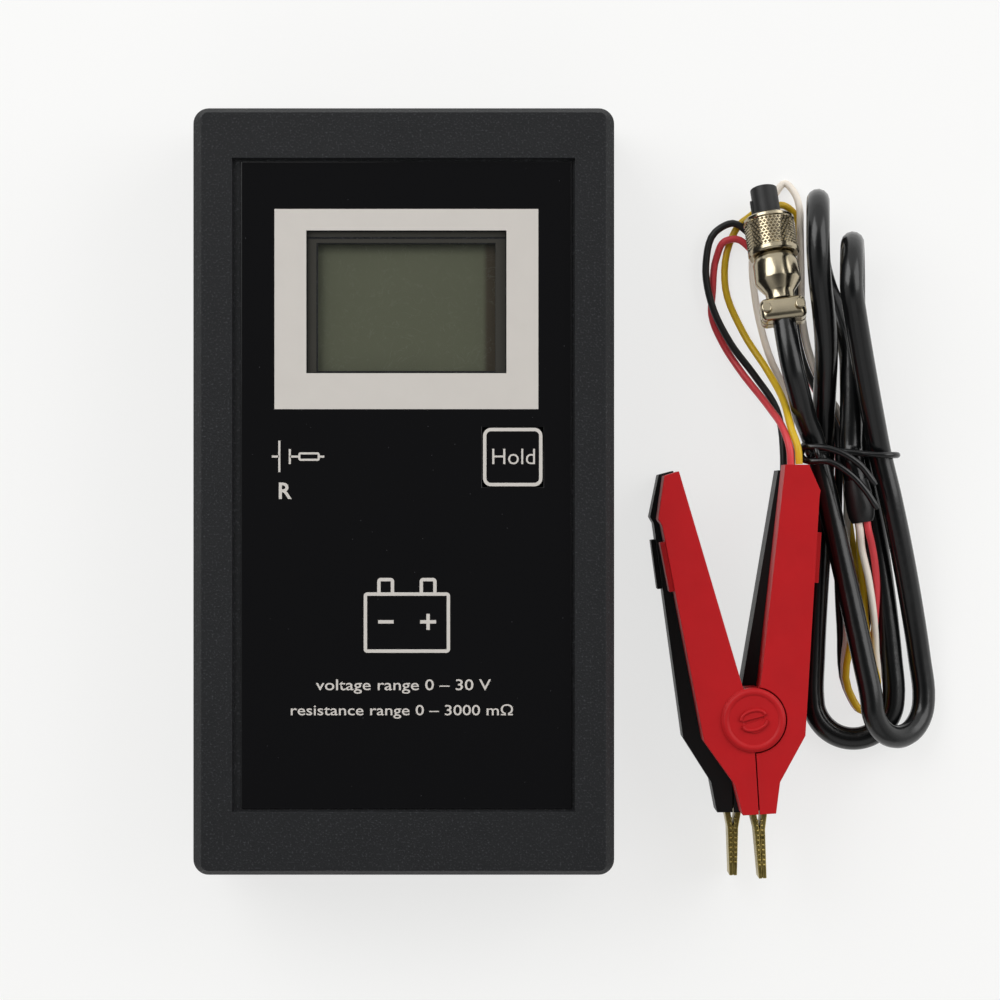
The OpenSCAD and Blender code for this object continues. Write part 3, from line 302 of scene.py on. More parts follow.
def plain_plastic(name, rgba, roughness=0.45):
    """A moulded inner piece: smooth, with faint flow marks."""
    return material_for(name, rgba, roughness, mottle=5, contrast=0.08, grain=0.5, depth=0.008, IOR=1.5)


# ---- meshes

def body_of(node):
    """The body that a CAD node rides on."""
    bodies = frame["record"]["behaviour"]["bodies"]
    return next(name for name, nodes in bodies.items() if node in nodes)


def shown(name, data):
    """A new object in the scene."""
    made = bpy.data.objects.new(name, data)
    bpy.context.scene.collection.objects.link(made)
    return made


def piece(name, mesh, material, body, slot, *replaced):
    """Shows a finished mesh as a piece of the object that rides on a body."""
    mesh.name = name
    mesh.materials.clear()
    mesh.materials.append(material)
    made = shown(name, mesh)
    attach(made, body)
    if replaced:
        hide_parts(*replaced)
    return made


def paint_node(material, *nodes):
    """Gives CAD nodes that keep their shape a better material."""
    for node in nodes:
        for slot in frame["nodes"][node].material_slots:
            slot.material = material


def settle(mesh, angle=38):
    """Smooth faces with sharp edges past an angle in degrees."""
    mesh.shade_smooth()
    mesh.set_sharp_from_angle(angle=math.radians(angle))
    return mesh


def baked(made):
    """The evaluated object as a plain mesh; the object itself goes."""
    graph = bpy.context.evaluated_depsgraph_get()
    mesh = bpy.data.meshes.new_from_object(made.evaluated_get(graph))
    data = made.data
    bpy.data.objects.remove(made)
    if isinstance(data, bpy.types.Mesh) and not data.users:
        bpy.data.meshes.remove(data)
    return mesh


def solid_copy(node):
    """A merged copy of a CAD node's mesh with its flat faces made whole."""
    mesh = frame["nodes"][node].data.copy()
    shape = bmesh.new()
    shape.from_mesh(mesh)
    bmesh.ops.remove_doubles(shape, verts=shape.verts, dist=2e-6)
    bmesh.ops.dissolve_limit(shape, angle_limit=math.radians(0.6), verts=shape.verts, edges=shape.edges)
    shape.to_mesh(mesh)
    shape.free()
    return mesh


def rounded_node(node, material, slot, radius, segments=3, angle=32):
    """Replaces a CAD node by its own shape with rounded edges; radius is in metres."""
    rough = shown(node + "_rough", settle(solid_copy(node)))
    edge = rough.modifiers.new("Rounded edges", "BEVEL")
    edge.width, edge.segments = radius, segments
    edge.limit_method, edge.angle_limit = "ANGLE", math.radians(angle)
    rough.modifiers.new("Flat faces stay flat", "WEIGHTED_NORMAL").keep_sharp = True
    return piece(node + "_look", baked(rough), material, body_of(node), slot, node)


def mesh_from(build):
    """A mesh filled by a function that takes an empty bmesh."""
    shape = bmesh.new()
    build(shape)
    mesh = bpy.data.meshes.new("shape")
    shape.to_mesh(mesh)
    shape.free()
    return mesh


def lathe(shape, profile, place, sides=64):
    """Adds a closed outline of (radius, height) in millimetres, turned about the local Z axis."""
    rings = [[shape.verts.new(place @ Vector((r * MM * math.cos(a), r * MM * math.sin(a), z * MM)))
              for r, z in profile]
             for a in [2 * math.pi * k / sides for k in range(sides)]]
    for here, there in zip(rings, rings[1:] + rings[:1]):
        for i in range(len(profile)):
            j = (i + 1) % len(profile)
            shape.faces.new((here[i], there[i], there[j], here[j]))
    bmesh.ops.remove_doubles(shape, verts=shape.verts, dist=1e-8)
    bmesh.ops.recalc_face_normals(shape, faces=shape.faces)


def smooth_route(points, steps):
    """Points between given ones, on a curve through all of them that spacing doesn't upset."""
    p = [Vector(v) for v in points]
    gaps = [(b - a).length for a, b in zip(p, p[1:])]
    slopes = []
    for i in range(len(p)):
        if i in (0, len(p) - 1):
            k = min(i, len(p) - 2)
            slopes.append((p[k + 1] - p[k]) / gaps[k])
        else:
            a, b = gaps[i - 1], gaps[i]
            slopes.append(((p[i] - p[i - 1]) / a * b + (p[i + 1] - p[i]) / b * a) / (a + b))
    dense = []
    for i, gap in enumerate(gaps):
        for k in range(steps):
            t = k / steps
            dense.append((2 * t ** 3 - 3 * t ** 2 + 1) * p[i] + (t ** 3 - 2 * t ** 2 + t) * gap * slopes[i]
                         + (3 * t ** 2 - 2 * t ** 3) * p[i + 1] + (t ** 3 - t ** 2) * gap * slopes[i + 1])
    return dense + [p[-1]]


def skin(shape, rings):
    """Adds the faces between rings of vertices and closes both ends."""
    for here, there in zip(rings, rings[1:]):
        for k in range(len(here)):
            shape.faces.new((here[k - 1], here[k], there[k], there[k - 1]))
    shape.faces.new(list(reversed(rings[0])))
    shape.faces.new(rings[-1])


def corner_arcs(corners, steps):
    """Points round a rounded rectangle, whose corners are (x, y, radius across, radius up, start angle)."""
    return [(x + across * math.cos(a), y + up * math.sin(a)) for x, y, across, up, start in corners
            for a in [math.radians(start + 90 * k / steps) for k in range(steps + 1)]]


def tube(shape, points, radii, sides):
    """Adds a closed tube along points with a radius at each, in millimetres."""
    p = [Vector(v) * MM for v in points]
    way = [(after - before).normalized() for before, after in zip(p[:1] + p, p[1:] + p[-1:])]
    side = way[0].orthogonal().normalized()
    rings = []
    for centre, ahead, radius in zip(p, way, radii):
        side = (side - side.project(ahead)).normalized()
        up = ahead.cross(side)
        rings.append([shape.verts.new(centre + radius * MM * (math.cos(a) * side + math.sin(a) * up))
                      for a in [2 * math.pi * k / sides for k in range(sides)]])
    skin(shape, rings)


# ---- the lead set's places, in millimetres, as the CAD source names or works them out

PLUG_TIP = Vector((74.1, 62.9, 5.2))
PLUG_RISE, PLUG_HEADING = math.radians(18), math.radians(7.3)
PLUG_WAY = Vector((math.sin(PLUG_HEADING) * math.cos(PLUG_RISE),
                   -math.cos(PLUG_HEADING) * math.cos(PLUG_RISE), math.sin(PLUG_RISE)))
TUBE_END, CLAMP_END = 25.1, 29.9
TIE_Y = 8.1
WAISTS = [(84.9, 9.25), (97.8, 9.7), (94.7, 4.0), (86.6, 4.0), (92.0, 8.9)]
FOLDS = [((95.9, 12.0), (107.8, 2.5), -43.2), ((90.7, 21.6), (93.2, 2.5), 41.6),
         ((101.5, 2.5), (84.65, 2.5), -43.1), ((83.9, 21.6), (85.7, 2.5), 50.4)]
FOLD_RINGS, RUN_RINGS = 13, 5
# How a run moves sideways and in height between a fold and the tie: under 1 it has settled at that
# share of its length, from 1 up it is the power of its bend. One pair for each side of each fold.
SMOOTH = 0.999
BENDS = [((1.05,), (1.3,)), ((1.1, 1), ()), ((1.4,), ()), ((0.58,), (0.58, 0.58))]
LEAD_IN = [(79.3, 25.2, 15.9), (80.7, 20.2, 14.3), (82.2, 15.2, 11.8), (83.95, 11.2, 9.95)]
SLEEVE = (Vector((92.9, 2.5, 9.2)), Vector((94.3, -6.3, 9.2)))
CABLE_D = 4.8
# Half the space between two wires, and the size and mid height of a clip's levers
WIRE_ROW, LEVER_HALF_W, LEVER_L, LEVER_MID_Z = 0.85, 16.4, 51.4, 5.25
RED_CLIP = (70.8, -46.4, 3.5, 11.6)
BLACK_CLIP = (67.4, -47.0, 0.3, 0.0)
WIRE_ENDS = {"white": (BLACK_CLIP, 1, -1, 1), "red": (RED_CLIP, -1, 1, 1),
             "yellow": (RED_CLIP, 1, -1, -1), "black": (BLACK_CLIP, -1, 1, -1)}
ROUTES = {
    "white": [(94.2, -11.5, 8.6), (95.7, -18, 7.8), (96.8, -25, 6.9), (97.5, -33, 5.2),
              (97.7, -41, 4.05), (94.7, -45.6, 4.05), (91.7, -41, 4.05), (91.6, -28, 4.2),
              (91.3, -18, 4.8), (91.5, -2, 5.4), (91.45, 8.1, 5.3), (91.3, 13, 3.9), (89.85, 17, 2.5),
              (87.4, 21, 2.45), (84.95, 26, 2.45), (82.5, 36, 2.45), (82.2, 46, 2.45), (82, 55, 2.45),
              (81.9, 59, 2.45), (80.9, 62.5, 1.5), (78.9, 64.6, 0.8), (76.8, 62.2, 0.8),
              (73.4, 56.8, 0.8), (72.1, 48, 0.8), (72.8, 40, 0.8), (75.5, 29, 0.8), (79.6, 19.2, 1.2),
              (80, 13, 3.8)],
    "yellow": [(93.9, -11.5, 7), (94.7, -19, 5.9), (95.3, -27, 5.6), (96.2, -34, 6.4),
               (97.7, -41, 5.65), (94.7, -45.6, 5.65), (91.7, -41, 5.65), (92.8, -28, 5.6),
               (93.4, -18, 4.2), (91.8, -2, 2.5), (91.45, 8.8, 2.4), (91.3, 13, 1), (89.85, 17, 0.85),
               (87.4, 21, 0.85), (84.95, 26, 0.85), (82.5, 36, 0.85), (82.2, 46, 0.85),
               (82, 53.5, 0.85), (81.1, 58, 0.85), (78.6, 59.9, 1.5), (75.4, 59.3, 2.5),
               (73.2, 58.7, 2.4), (71.3, 57.4, 1.3), (69.7, 56.2, 0.8), (67.3, 51.8, 0.8),
               (66.5, 42.6, 0.8), (70.1, 33.4, 1.5), (75.1, 25, 5), (77.9, 18.5, 11), (79, 13, 15.3)],
    "red": [(96.4, -11.5, 8.6), (97.5, -19, 6.6), (97.35, -27, 4.9), (97.2, -33, 2.75),
            (97.9, -37, 1.1), (97.7, -41, 0.85), (94.7, -45.6, 0.85), (91.7, -41, 0.85),
            (90.9, -28, 0.85), (90.2, -18, 1.1), (89.9, -2, 2), (89.85, 8.8, 2.4), (89.6, 13, 1.1),
            (88, 17, 0.85), (85.5, 21, 0.85), (83.1, 26, 0.85), (80.85, 36, 0.85), (80.6, 41, 0.85),
            (78.6, 45.6, 1.2), (76.6, 47.6, 2.2), (72.5, 50, 2.45), (68.6, 52.8, 2.45),
            (66.2, 52.3, 2.35), (64.6, 49, 1), (63.8, 42, 0.85), (63.6, 37, 0.85), (66.2, 30.6, 0.85),
            (69, 26.1, 1.9), (75.1, 17.3, 9), (77.5, 12.8, 14.5)],
    "black": [(95.6, -11.5, 6), (95.7, -19, 4), (96, -27, 2.9), (95.45, -33, 2.7), (96.4, -37, 2.6),
              (97.7, -41, 2.45), (94.7, -45.6, 2.45), (91.7, -41, 2.45), (90.3, -28, 2.6),
              (89.8, -18, 3), (89.8, -2, 4.9), (89.85, 8.1, 5.3), (89.75, 11, 3.9), (89.6, 13, 2.8),
              (88, 17, 2.45), (85.5, 21, 2.45), (83.1, 26, 2.45), (80.85, 36, 2.45), (80.5, 45, 2.5),
              (78.6, 49.6, 2.5), (72.6, 52.9, 2.45), (67.9, 56.1, 2.45), (64.2, 54.2, 2.5),
              (62.3, 47.6, 2.5), (63.4, 39.5, 2.5), (67.4, 31.1, 2.5), (72.4, 24.4, 2.5),
              (76.9, 17.3, 3.8)],
}


def plug_point(along):
    """A place on the plug's axis, that far from its tip."""
    return PLUG_TIP + along * PLUG_WAY


def plug_place(along=0.0):
    """The plug's own frame in metres: Z runs from its tip to the cable, Y to the right, X down."""
    return (Matrix.Translation(plug_point(along) * MM) @ Matrix.Rotation(PLUG_HEADING - math.pi / 2, 4, "Z")
            @ Matrix.Rotation(math.pi / 2 - PLUG_RISE, 4, "Y"))


def clip_point(clip, x, y, z):
    """A place given in a clip's own frame."""
    turn = math.radians(clip[2])
    return Vector((clip[0] + x * math.cos(turn) - y * math.sin(turn),
                   clip[1] + x * math.sin(turn) + y * math.cos(turn), clip[3] + z))


def hank_route():
    """The cable from the plug through its four folds to the sleeve."""
    def profile(u, k):
        if k < 1:
            c = min(1.0, u / k)
            return c * c * (3 - 2 * c)
        return u ** k

    def run(arm, arm_y, waist, kx=SMOOTH, kz=SMOOTH):
        steps = [k / (RUN_RINGS + 1) for k in range(1, RUN_RINGS + 1)]
        return [Vector((arm[0] + (waist[0] - arm[0]) * profile(u, kx), arm_y + (TIE_Y - arm_y) * u,
                        arm[1] + (waist[1] - arm[1]) * profile(u, kz))) for u in steps]

    def fold(start, end, y, way):
        reach = math.hypot(start[0] - end[0], start[1] - end[1]) / 2
        turns = [math.pi * k / (FOLD_RINGS - 1) for k in range(FOLD_RINGS)]
        return [Vector(((start[0] + end[0]) / 2 + (start[0] - end[0]) / 2 * math.cos(a),
                        y + way * reach * math.sin(a),
                        (start[1] + end[1]) / 2 + (start[1] - end[1]) / 2 * math.cos(a))) for a in turns]

    def tied(k):
        return [Vector((WAISTS[k][0], TIE_Y, WAISTS[k][1]))]

    route = [plug_point(TUBE_END), plug_point(CLAMP_END), plug_point(CLAMP_END + 1)]
    route += [Vector(v) for v in LEAD_IN] + tied(0)
    for k, ((start, end, y), (out, home)) in enumerate(zip(FOLDS, BENDS)):
        route += run(start, y, WAISTS[k], *out)[::-1] + fold(start, end, y, (-1, 1)[k % 2])
        route += run(end, y, WAISTS[k + 1], *home) + tied(k + 1)
    back = (SLEEVE[1] - SLEEVE[0]).normalized() * CABLE_D
    return route + [SLEEVE[0] - back, SLEEVE[0]]


def wire_route(name):
    """A wire from the sleeve to its lever."""
    clip, side, sx, sz = WIRE_ENDS[name]
    way = (SLEEVE[1] - SLEEVE[0]).normalized()
    across = Vector((0, 0, 1)).cross(way).normalized()
    start = SLEEVE[1] + sx * WIRE_ROW * across + Vector((0, 0, sz * WIRE_ROW))
    x, y = 0.7315 * LEVER_HALF_W + side * WIRE_ROW, 0.997 * LEVER_L + 0.1
    return ([start, start + way * 1.5] + [Vector(v) for v in ROUTES[name]]
            + [clip_point(clip, x, y + 3, LEVER_MID_Z), clip_point(clip, x, y, LEVER_MID_Z)])


def cord_piece(name, route, diameter, material, node):
    """A cord as one open curve with a round bevel; the route is in millimetres."""
    lowest = diameter / 2 + 0.02 * MM
    dense = [Vector((v.x * MM, v.y * MM, max(v.z * MM, lowest))) for v in smooth_route(route, 5)]
    line = bpy.data.curves.new(name, "CURVE")
    line.dimensions = "3D"
    strand = line.splines.new("POLY")
    strand.points.add(len(dense) - 1)
    for point, v in zip(strand.points, dense):
        point.co = (*v, 1)
    strand.use_smooth = True
    line.bevel_depth, line.bevel_resolution, line.use_fill_caps = diameter / 2, 5, True
    line.materials.append(material)
    made = shown(name, line)
    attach(made, body_of(node))
    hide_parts(node)
    return made, sum((b - a).length for a, b in zip(dense, dense[1:]))


# ---- geometry nodes

def new_tree(name, **sizes):
    """A geometry tree, its node adder and its inputs, each named with its kind of socket."""
    tree = bpy.data.node_groups.new(name, "GeometryNodeTree")
    for label, kind in sizes.items():
        tree.interface.new_socket(label, in_out="INPUT", socket_type="NodeSocket" + kind)
    tree.interface.new_socket("Geometry", in_out="OUTPUT", socket_type="NodeSocketGeometry")
    add = partial(add_node, tree)
    return tree, add, add("NodeGroupInput").outputs


def grow(made, **values):
    """The mesh that a tree makes of its last node's geometry, realised and given its material."""
    tree, add, given, last = made
    real = add("GeometryNodeRealizeInstances", {"Geometry": last})
    done = add("GeometryNodeSetMaterial", {"Geometry": real, "Material": given["Material"]})
    add("NodeGroupOutput", {"Geometry": done})
    host = shown("host", bpy.data.meshes.new("host"))
    growth = host.modifiers.new("Growth", "NODES")
    growth.node_group = tree
    for item in tree.interface.items_tree:
        if item.item_type == "SOCKET" and item.in_out == "INPUT":
            growth[item.identifier] = values[item.name]
    return baked(host)


def knurl_tree():
    """Diamond knurls in staggered rows round a cylinder that stands on the local origin."""
    tree, add, given = new_tree("Knurls", Radius="Float", Length="Float", Count="Int", Rows="Int",
                                Height="Float", Material="Material")
    value = {"Index": add("GeometryNodeInputIndex"),
             **{name: given[name] for name in ("Radius", "Length", "Count", "Rows")}}
    for result, operation, a, b in (
            ("Rounds", "DIVIDE", "Index", "Count"), ("Row", "FLOOR", "Rounds", 0.0),
            ("Before", "MULTIPLY", "Row", "Count"), ("Column", "SUBTRACT", "Index", "Before"),
            ("Odd", "MODULO", "Row", 2.0), ("Stagger", "MULTIPLY", "Odd", 0.5),
            ("Step", "ADD", "Column", "Stagger"), ("Arc", "MULTIPLY", "Step", 2 * math.pi),
            ("Turn", "DIVIDE", "Arc", "Count"), ("X", "COSINE", "Turn", 0.0), ("Y", "SINE", "Turn", 0.0),
            ("Middle", "ADD", "Row", 0.5), ("Reach", "MULTIPLY", "Middle", "Length"),
            ("Along", "DIVIDE", "Reach", "Rows"), ("Total", "MULTIPLY", "Count", "Rows"),
            ("Half round", "MULTIPLY", "Radius", math.pi), ("Width", "DIVIDE", "Half round", "Count"),
            ("Tip", "MULTIPLY", "Width", 0.12)):
        value[result] = add("ShaderNodeMath", {0: value.get(a, a), 1: value.get(b, b)}, operation=operation)
    outward = add("ShaderNodeCombineXYZ", {"X": value["X"], "Y": value["Y"]})
    ring = add("ShaderNodeVectorMath", {0: outward, "Scale": value["Radius"]}, operation="SCALE")
    lift = add("ShaderNodeCombineXYZ", {"Z": value["Along"]})
    spot = add("ShaderNodeVectorMath", {0: ring, 1: lift}, operation="ADD")
    points = add("GeometryNodePoints", {"Count": value["Total"], "Position": spot})
    knurl = add("GeometryNodeMeshCone", {"Vertices": 4, "Radius Bottom": value["Width"],
                                         "Radius Top": value["Tip"], "Depth": given["Height"]})
    out = add("FunctionNodeAlignRotationToVector", {"Vector": outward}, axis="Z")
    upright = add("FunctionNodeAlignRotationToVector", {"Rotation": out, "Vector": (0, 0, 1)}, axis="X",
                  pivot_axis="Z")
    return tree, add, given, add("GeometryNodeInstanceOnPoints", {"Points": points, "Instance": knurl,
                                                                  "Rotation": upright})


def tooth_tree():
    """Small round teeth in a line."""
    tree, add, given = new_tree("Teeth", Start="Vector", Step="Vector", Count="Int", Radius="Float",
                                Material="Material")
    line = add("GeometryNodeMeshLine", {"Count": given["Count"], "Start Location": given["Start"],
                                        "Offset": given["Step"]})
    tooth = add("GeometryNodeMeshIcoSphere", {"Radius": given["Radius"], "Subdivisions": 2})
    return tree, add, given, add("GeometryNodeInstanceOnPoints", {"Points": line, "Instance": tooth})


def screw_tree():
    """Cross-slotted pan heads with their shanks at the corners of a rectangle, heads facing down."""
    tree, add, given = new_tree("Screws", PitchX="Float", PitchY="Float", Head="Float", HeadHeight="Float",
                                Shank="Float", ShankLength="Float", Material="Material")
    value = {}
    for result, size, factor in (("Head radius", "Head", 0.5), ("Slot length", "Head", 0.62),
                                 ("Slot width", "Head", 0.15), ("Slot drop", "HeadHeight", -0.5),
                                 ("Shank radius", "Shank", 0.5), ("Shank lift", "ShankLength", 0.5)):
        value[result] = add("ShaderNodeMath", {0: given[size], 1: factor}, operation="MULTIPLY")
    low = add("ShaderNodeCombineXYZ", {"Z": value["Slot drop"]})
    high = add("ShaderNodeCombineXYZ", {"Z": value["Shank lift"]})
    grid = add("GeometryNodeMeshGrid", {"Size X": given["PitchX"], "Size Y": given["PitchY"],
                                        "Vertices X": 2, "Vertices Y": 2})
    head = add("GeometryNodeMeshCylinder", {"Vertices": 32, "Radius": value["Head radius"],
                                            "Depth": given["HeadHeight"]})
    cross = add("GeometryNodeMeshBoolean", {"Mesh 1": head}, operation="DIFFERENCE", solver="EXACT")
    for x, y in (("Slot length", "Slot width"), ("Slot width", "Slot length")):
        size = add("ShaderNodeCombineXYZ", {"X": value[x], "Y": value[y], "Z": given["HeadHeight"]})
        cut = add("GeometryNodeTransform", {"Geometry": add("GeometryNodeMeshCube", {"Size": size}),
                                            "Translation": low})
        tree.links.new(cut.outputs[0], cross.inputs["Mesh 2"])
    shank = add("GeometryNodeMeshCylinder", {"Vertices": 24, "Radius": value["Shank radius"],
                                             "Depth": given["ShankLength"]})
    joined = add("GeometryNodeJoinGeometry", {0: cross})
    lifted = add("GeometryNodeTransform", {"Geometry": shank, "Translation": high})
    tree.links.new(lifted.outputs[0], joined.inputs[0])
    return tree, add, given, add("GeometryNodeInstanceOnPoints", {"Points": grid, "Instance": joined})


# ---- printing

def lettering(shape, text, low, high, z, weight):
    """Adds flat letters fitted between two corners, in millimetres; weight thickens their strokes."""
    line = bpy.data.curves.new("letters", "FONT")
    line.body, line.size, line.offset, line.resolution_u = text, 1.0, weight, 3
    mesh = baked(shown("letters", line))
    bpy.data.curves.remove(line)
    xs, ys = [v.co.x for v in mesh.vertices], [v.co.y for v in mesh.vertices]
    scale = (high[0] - low[0]) / (max(xs) - min(xs)), (high[1] - low[1]) / (max(ys) - min(ys))
    for v in mesh.vertices:
        v.co = Vector((low[0] + (v.co.x - min(xs)) * scale[0], low[1] + (v.co.y - min(ys)) * scale[1], z)) * MM
    shape.from_mesh(mesh)
    bpy.data.meshes.remove(mesh)


def outline(shape, low, high, stroke, radius, z):
    """Adds a flat rounded outline, its outer edge between two corners, in millimetres."""
    radius = max(radius, stroke + 0.05)
    rings = []
    for r in (radius, radius - stroke):
        arcs = corner_arcs([(x, y, r, r, start) for x, y, start in (
            (high[0] - radius, high[1] - radius, 0), (low[0] + radius, high[1] - radius, 90),
            (low[0] + radius, low[1] + radius, 180), (high[0] - radius, low[1] + radius, 270))], 8)
        rings.append([shape.verts.new(Vector((x, y, z)) * MM) for x, y in arcs])
    outer, inner = rings
    for k in range(len(outer)):
        shape.faces.new((outer[k - 1], outer[k], inner[k], inner[k - 1]))


def bar(shape, low, high, z):
    """Adds a flat rectangle between two corners, in millimetres."""
    shape.faces.new([shape.verts.new(Vector((x, y, z)) * MM) for x, y in (
        (low[0], low[1]), (high[0], low[1]), (high[0], high[1]), (low[0], high[1]))])


# ---- operators

class TESTER_OT_stage(bpy.types.Operator):
    """Table top, soft lamps, world and the camera straight above"""
    bl_idname = "tester.stage"
    bl_label = "Stage"

    # Each lamp's name, place and size in metres, and power in watts
    lamps = [("Window lamp", (-0.62, 0.52, 0.74), 0.8, 5.4), ("Fill lamp", (0.8, 0.35, 0.6), 0.8, 3.6),
             ("Near lamp", (0.1, -0.85, 0.75), 0.9, 0.6)]

    def execute(self, context):
        look, scene = looks(context, "stage"), context.scene
        scene.view_settings.view_transform = "Standard"
        eye = bpy.data.cameras.new("Camera")
        eye.angle, eye.clip_start = look.field, 0.01
        scene.camera = shown("Camera", eye)
        scene.camera.location = (19.3 * MM, -1.7 * MM, look.height)

        table = mesh_from(lambda s: bar(s, (-2500, -2500), (2500, 2500), -0.05))
        table.materials.append(finish("Matt table paper", look.floor, 0.8, mottle=40, contrast=0.004, IOR=1.3))
        self.bleach(table.materials[0], look.bleach)
        shown("floor", table)

        for name, spot, size, power in self.lamps:
            lamp = bpy.data.lights.new(name, "AREA")
            lamp.energy, lamp.size = power, size
            made = shown(name, lamp)
            made.location = spot
            made.rotation_euler = (Vector((0.02, 0, 0)) - Vector(spot)).to_track_quat("-Z", "Y").to_euler()
        self.room(scene)
        return {"FINISHED"}

    def room(self, scene):
        """White walls, a darker ceiling and a darker near wall."""
        scene.world = bpy.data.worlds.new("Room")
        scene.world.use_nodes = True
        scene.world.node_tree.nodes.clear()
        add = partial(add_node, scene.world.node_tree)
        way = add("ShaderNodeSeparateXYZ", {0: add("ShaderNodeTexCoord").outputs["Generated"]}).outputs
        # The ceiling straight above is darker than the walls, as over a table lit from windows.
        level = add("ShaderNodeMapRange", {"Value": way["Z"], "From Min": 0.75, "From Max": 0.97,
                                           "To Min": 0.84, "To Max": 0.1})
        # The near wall is darker too: the photographer stands there.
        near = add("ShaderNodeMapRange", {"Value": way["Y"], "From Min": -0.6, "From Max": 0.1,
                                          "To Min": 0.4, "To Max": 1.0})
        walls = add("ShaderNodeMath", {0: level, 1: near}, operation="MULTIPLY")
        ray = add("ShaderNodeLightPath").outputs
        seen = add("ShaderNodeMath", {0: ray["Is Camera Ray"], 1: ray["Is Transmission Ray"]},
                   operation="MAXIMUM")
        strength = add("ShaderNodeMix", {"Factor": seen, 2: walls, 3: 1.0})
        sky = add("ShaderNodeBackground", {"Color": linear("#fbfbfa"), "Strength": strength})
        add("ShaderNodeOutputWorld", {"Surface": sky})

    def bleach(self, material, share):
        """Whitens the table for what the camera, a mirror or glass sees of it, and keeps its shadow."""
        add = partial(add_node, material.node_tree)
        out = next(n for n in material.node_tree.nodes if n.bl_idname == "ShaderNodeOutputMaterial")
        paper = out.inputs["Surface"].links[0].from_socket
        ray = add("ShaderNodeLightPath").outputs
        seen = ray["Is Camera Ray"]
        for kind in ("Is Glossy Ray", "Is Transmission Ray"):
            seen = add("ShaderNodeMath", {0: seen, 1: ray[kind]}, operation="MAXIMUM")
        part = add("ShaderNodeMath", {0: seen, 1: share}, operation="MULTIPLY")
        white = add("ShaderNodeEmission", {"Color": linear("#fdfdfc"), "Strength": 1.0})
        mixed = add("ShaderNodeMixShader", {0: part, 1: paper, 2: white})
        material.node_tree.links.new(mixed.outputs[0], out.inputs["Surface"])


class TESTER_OT_leads(bpy.types.Operator):
    """Cable hank, breakout sleeve, tie and the four wires"""
    bl_idname = "tester.leads"
    bl_label = "Leads"

    def execute(self, context):
        look = looks(context, "lead")
        black = jacket(context)
        sleeve = piece("breakout_sleeve_look", settle(mesh_from(self.sleeve)), shrunk(), "tester",
                       "black_pvc", "breakout_sleeve")
        tie = piece("cable_tie_look", settle(mesh_from(self.tie), 60), black, "tester",
                    "black_pvc", "cable_tie")
        cable, run = cord_piece("lead_cable_look", hank_route(), look.cable, black, "lead_cable")
        for name in ROUTES:
            route = wire_route(name)
            wire, run = cord_piece("wire_" + name + "_look", route, look.wire, insulation(context, name),
                                   "wire_" + name)
        return {"FINISHED"}

    def sleeve(self, shape):
        """Heat-shrunk sleeve, drawn in over the cable and squared over the four wires."""
        start, end = SLEEVE
        # Each station along it, as its share of the length and its radius
        stations = [(0.0, 2.42), (0.1, 2.55), (0.3, 2.85), (0.7, 2.88), (0.86, 2.7), (0.97, 2.35), (1.0, 2.1)]
        tube(shape, [start.lerp(end, share) for share, _ in stations], [r for _, r in stations], 24)

    def tie(self, shape):
        """Coated wire round the bundle, its twisted ends standing up beside it."""
        radius = looks(bpy.context, "lead").tie / MM / 2
        reach = CABLE_D / 2 + radius + 0.25
        loop = []
        # Each arc bends round one strand: which, its first and last angle, and how far it stands off
        for strand, first, last, slack in ((0, 190, 90, 0.6), (4, 90, 90, 0), (1, 90, -30, 0.3),
                                           (2, -37, -90, 0), (3, -90, -161, 0), (0, -158, -158, 0.3)):
            x, z = WAISTS[strand]
            steps = round(abs(first - last) / 14)
            for k in range(steps + 1):
                a = math.radians(first + (last - first) * k / max(1, steps))
                height = z + (reach + slack) * math.sin(a)
                loop.append(Vector((x + (reach + slack) * math.cos(a), TIE_Y - 0.09 * (x - WAISTS[4][0]),
                                    height)))
        loop = [Vector((v.x, v.y, max(v.z, radius + 0.05))) for v in smooth_route(loop, 3)]
        tube(shape, loop, [radius] * len(loop), 10)
        for tail in ([(81.3, 9.0, 11.4), (81.9, 9.2, 13.4), (85.3, 9.1, 14.9), (89.0, 8.1, 15.3),
                      (93.1, 5.5, 15.2), (96.4, 1.4, 14.5)],
                     [(81.0, 8.0, 10.9), (82.0, 6.5, 13.4), (87.0, 6.1, 15.2), (91.1, 3.6, 15.4),
                      (94.2, 0.35, 15.0), (96.8, -3.5, 14.2)]):
            line = smooth_route(tail, 5)
            tube(shape, line, [radius * 1.1] * (len(line) - 1) + [radius * 0.8], 10)
        # Where the two tails start they are wound round each other
        turns, steps = 2.4, 39
        wound = []
        for k in range(steps + 1):
            a, share = 2 * math.pi * turns * k / steps, k / steps
            wound.append(Vector((80.4 + 4.2 * share, 9.2 - 1.2 * share + math.cos(a),
                                 10.6 + 3.6 * share + math.sin(a))))
        tube(shape, wound, [radius] * len(wound), 10)


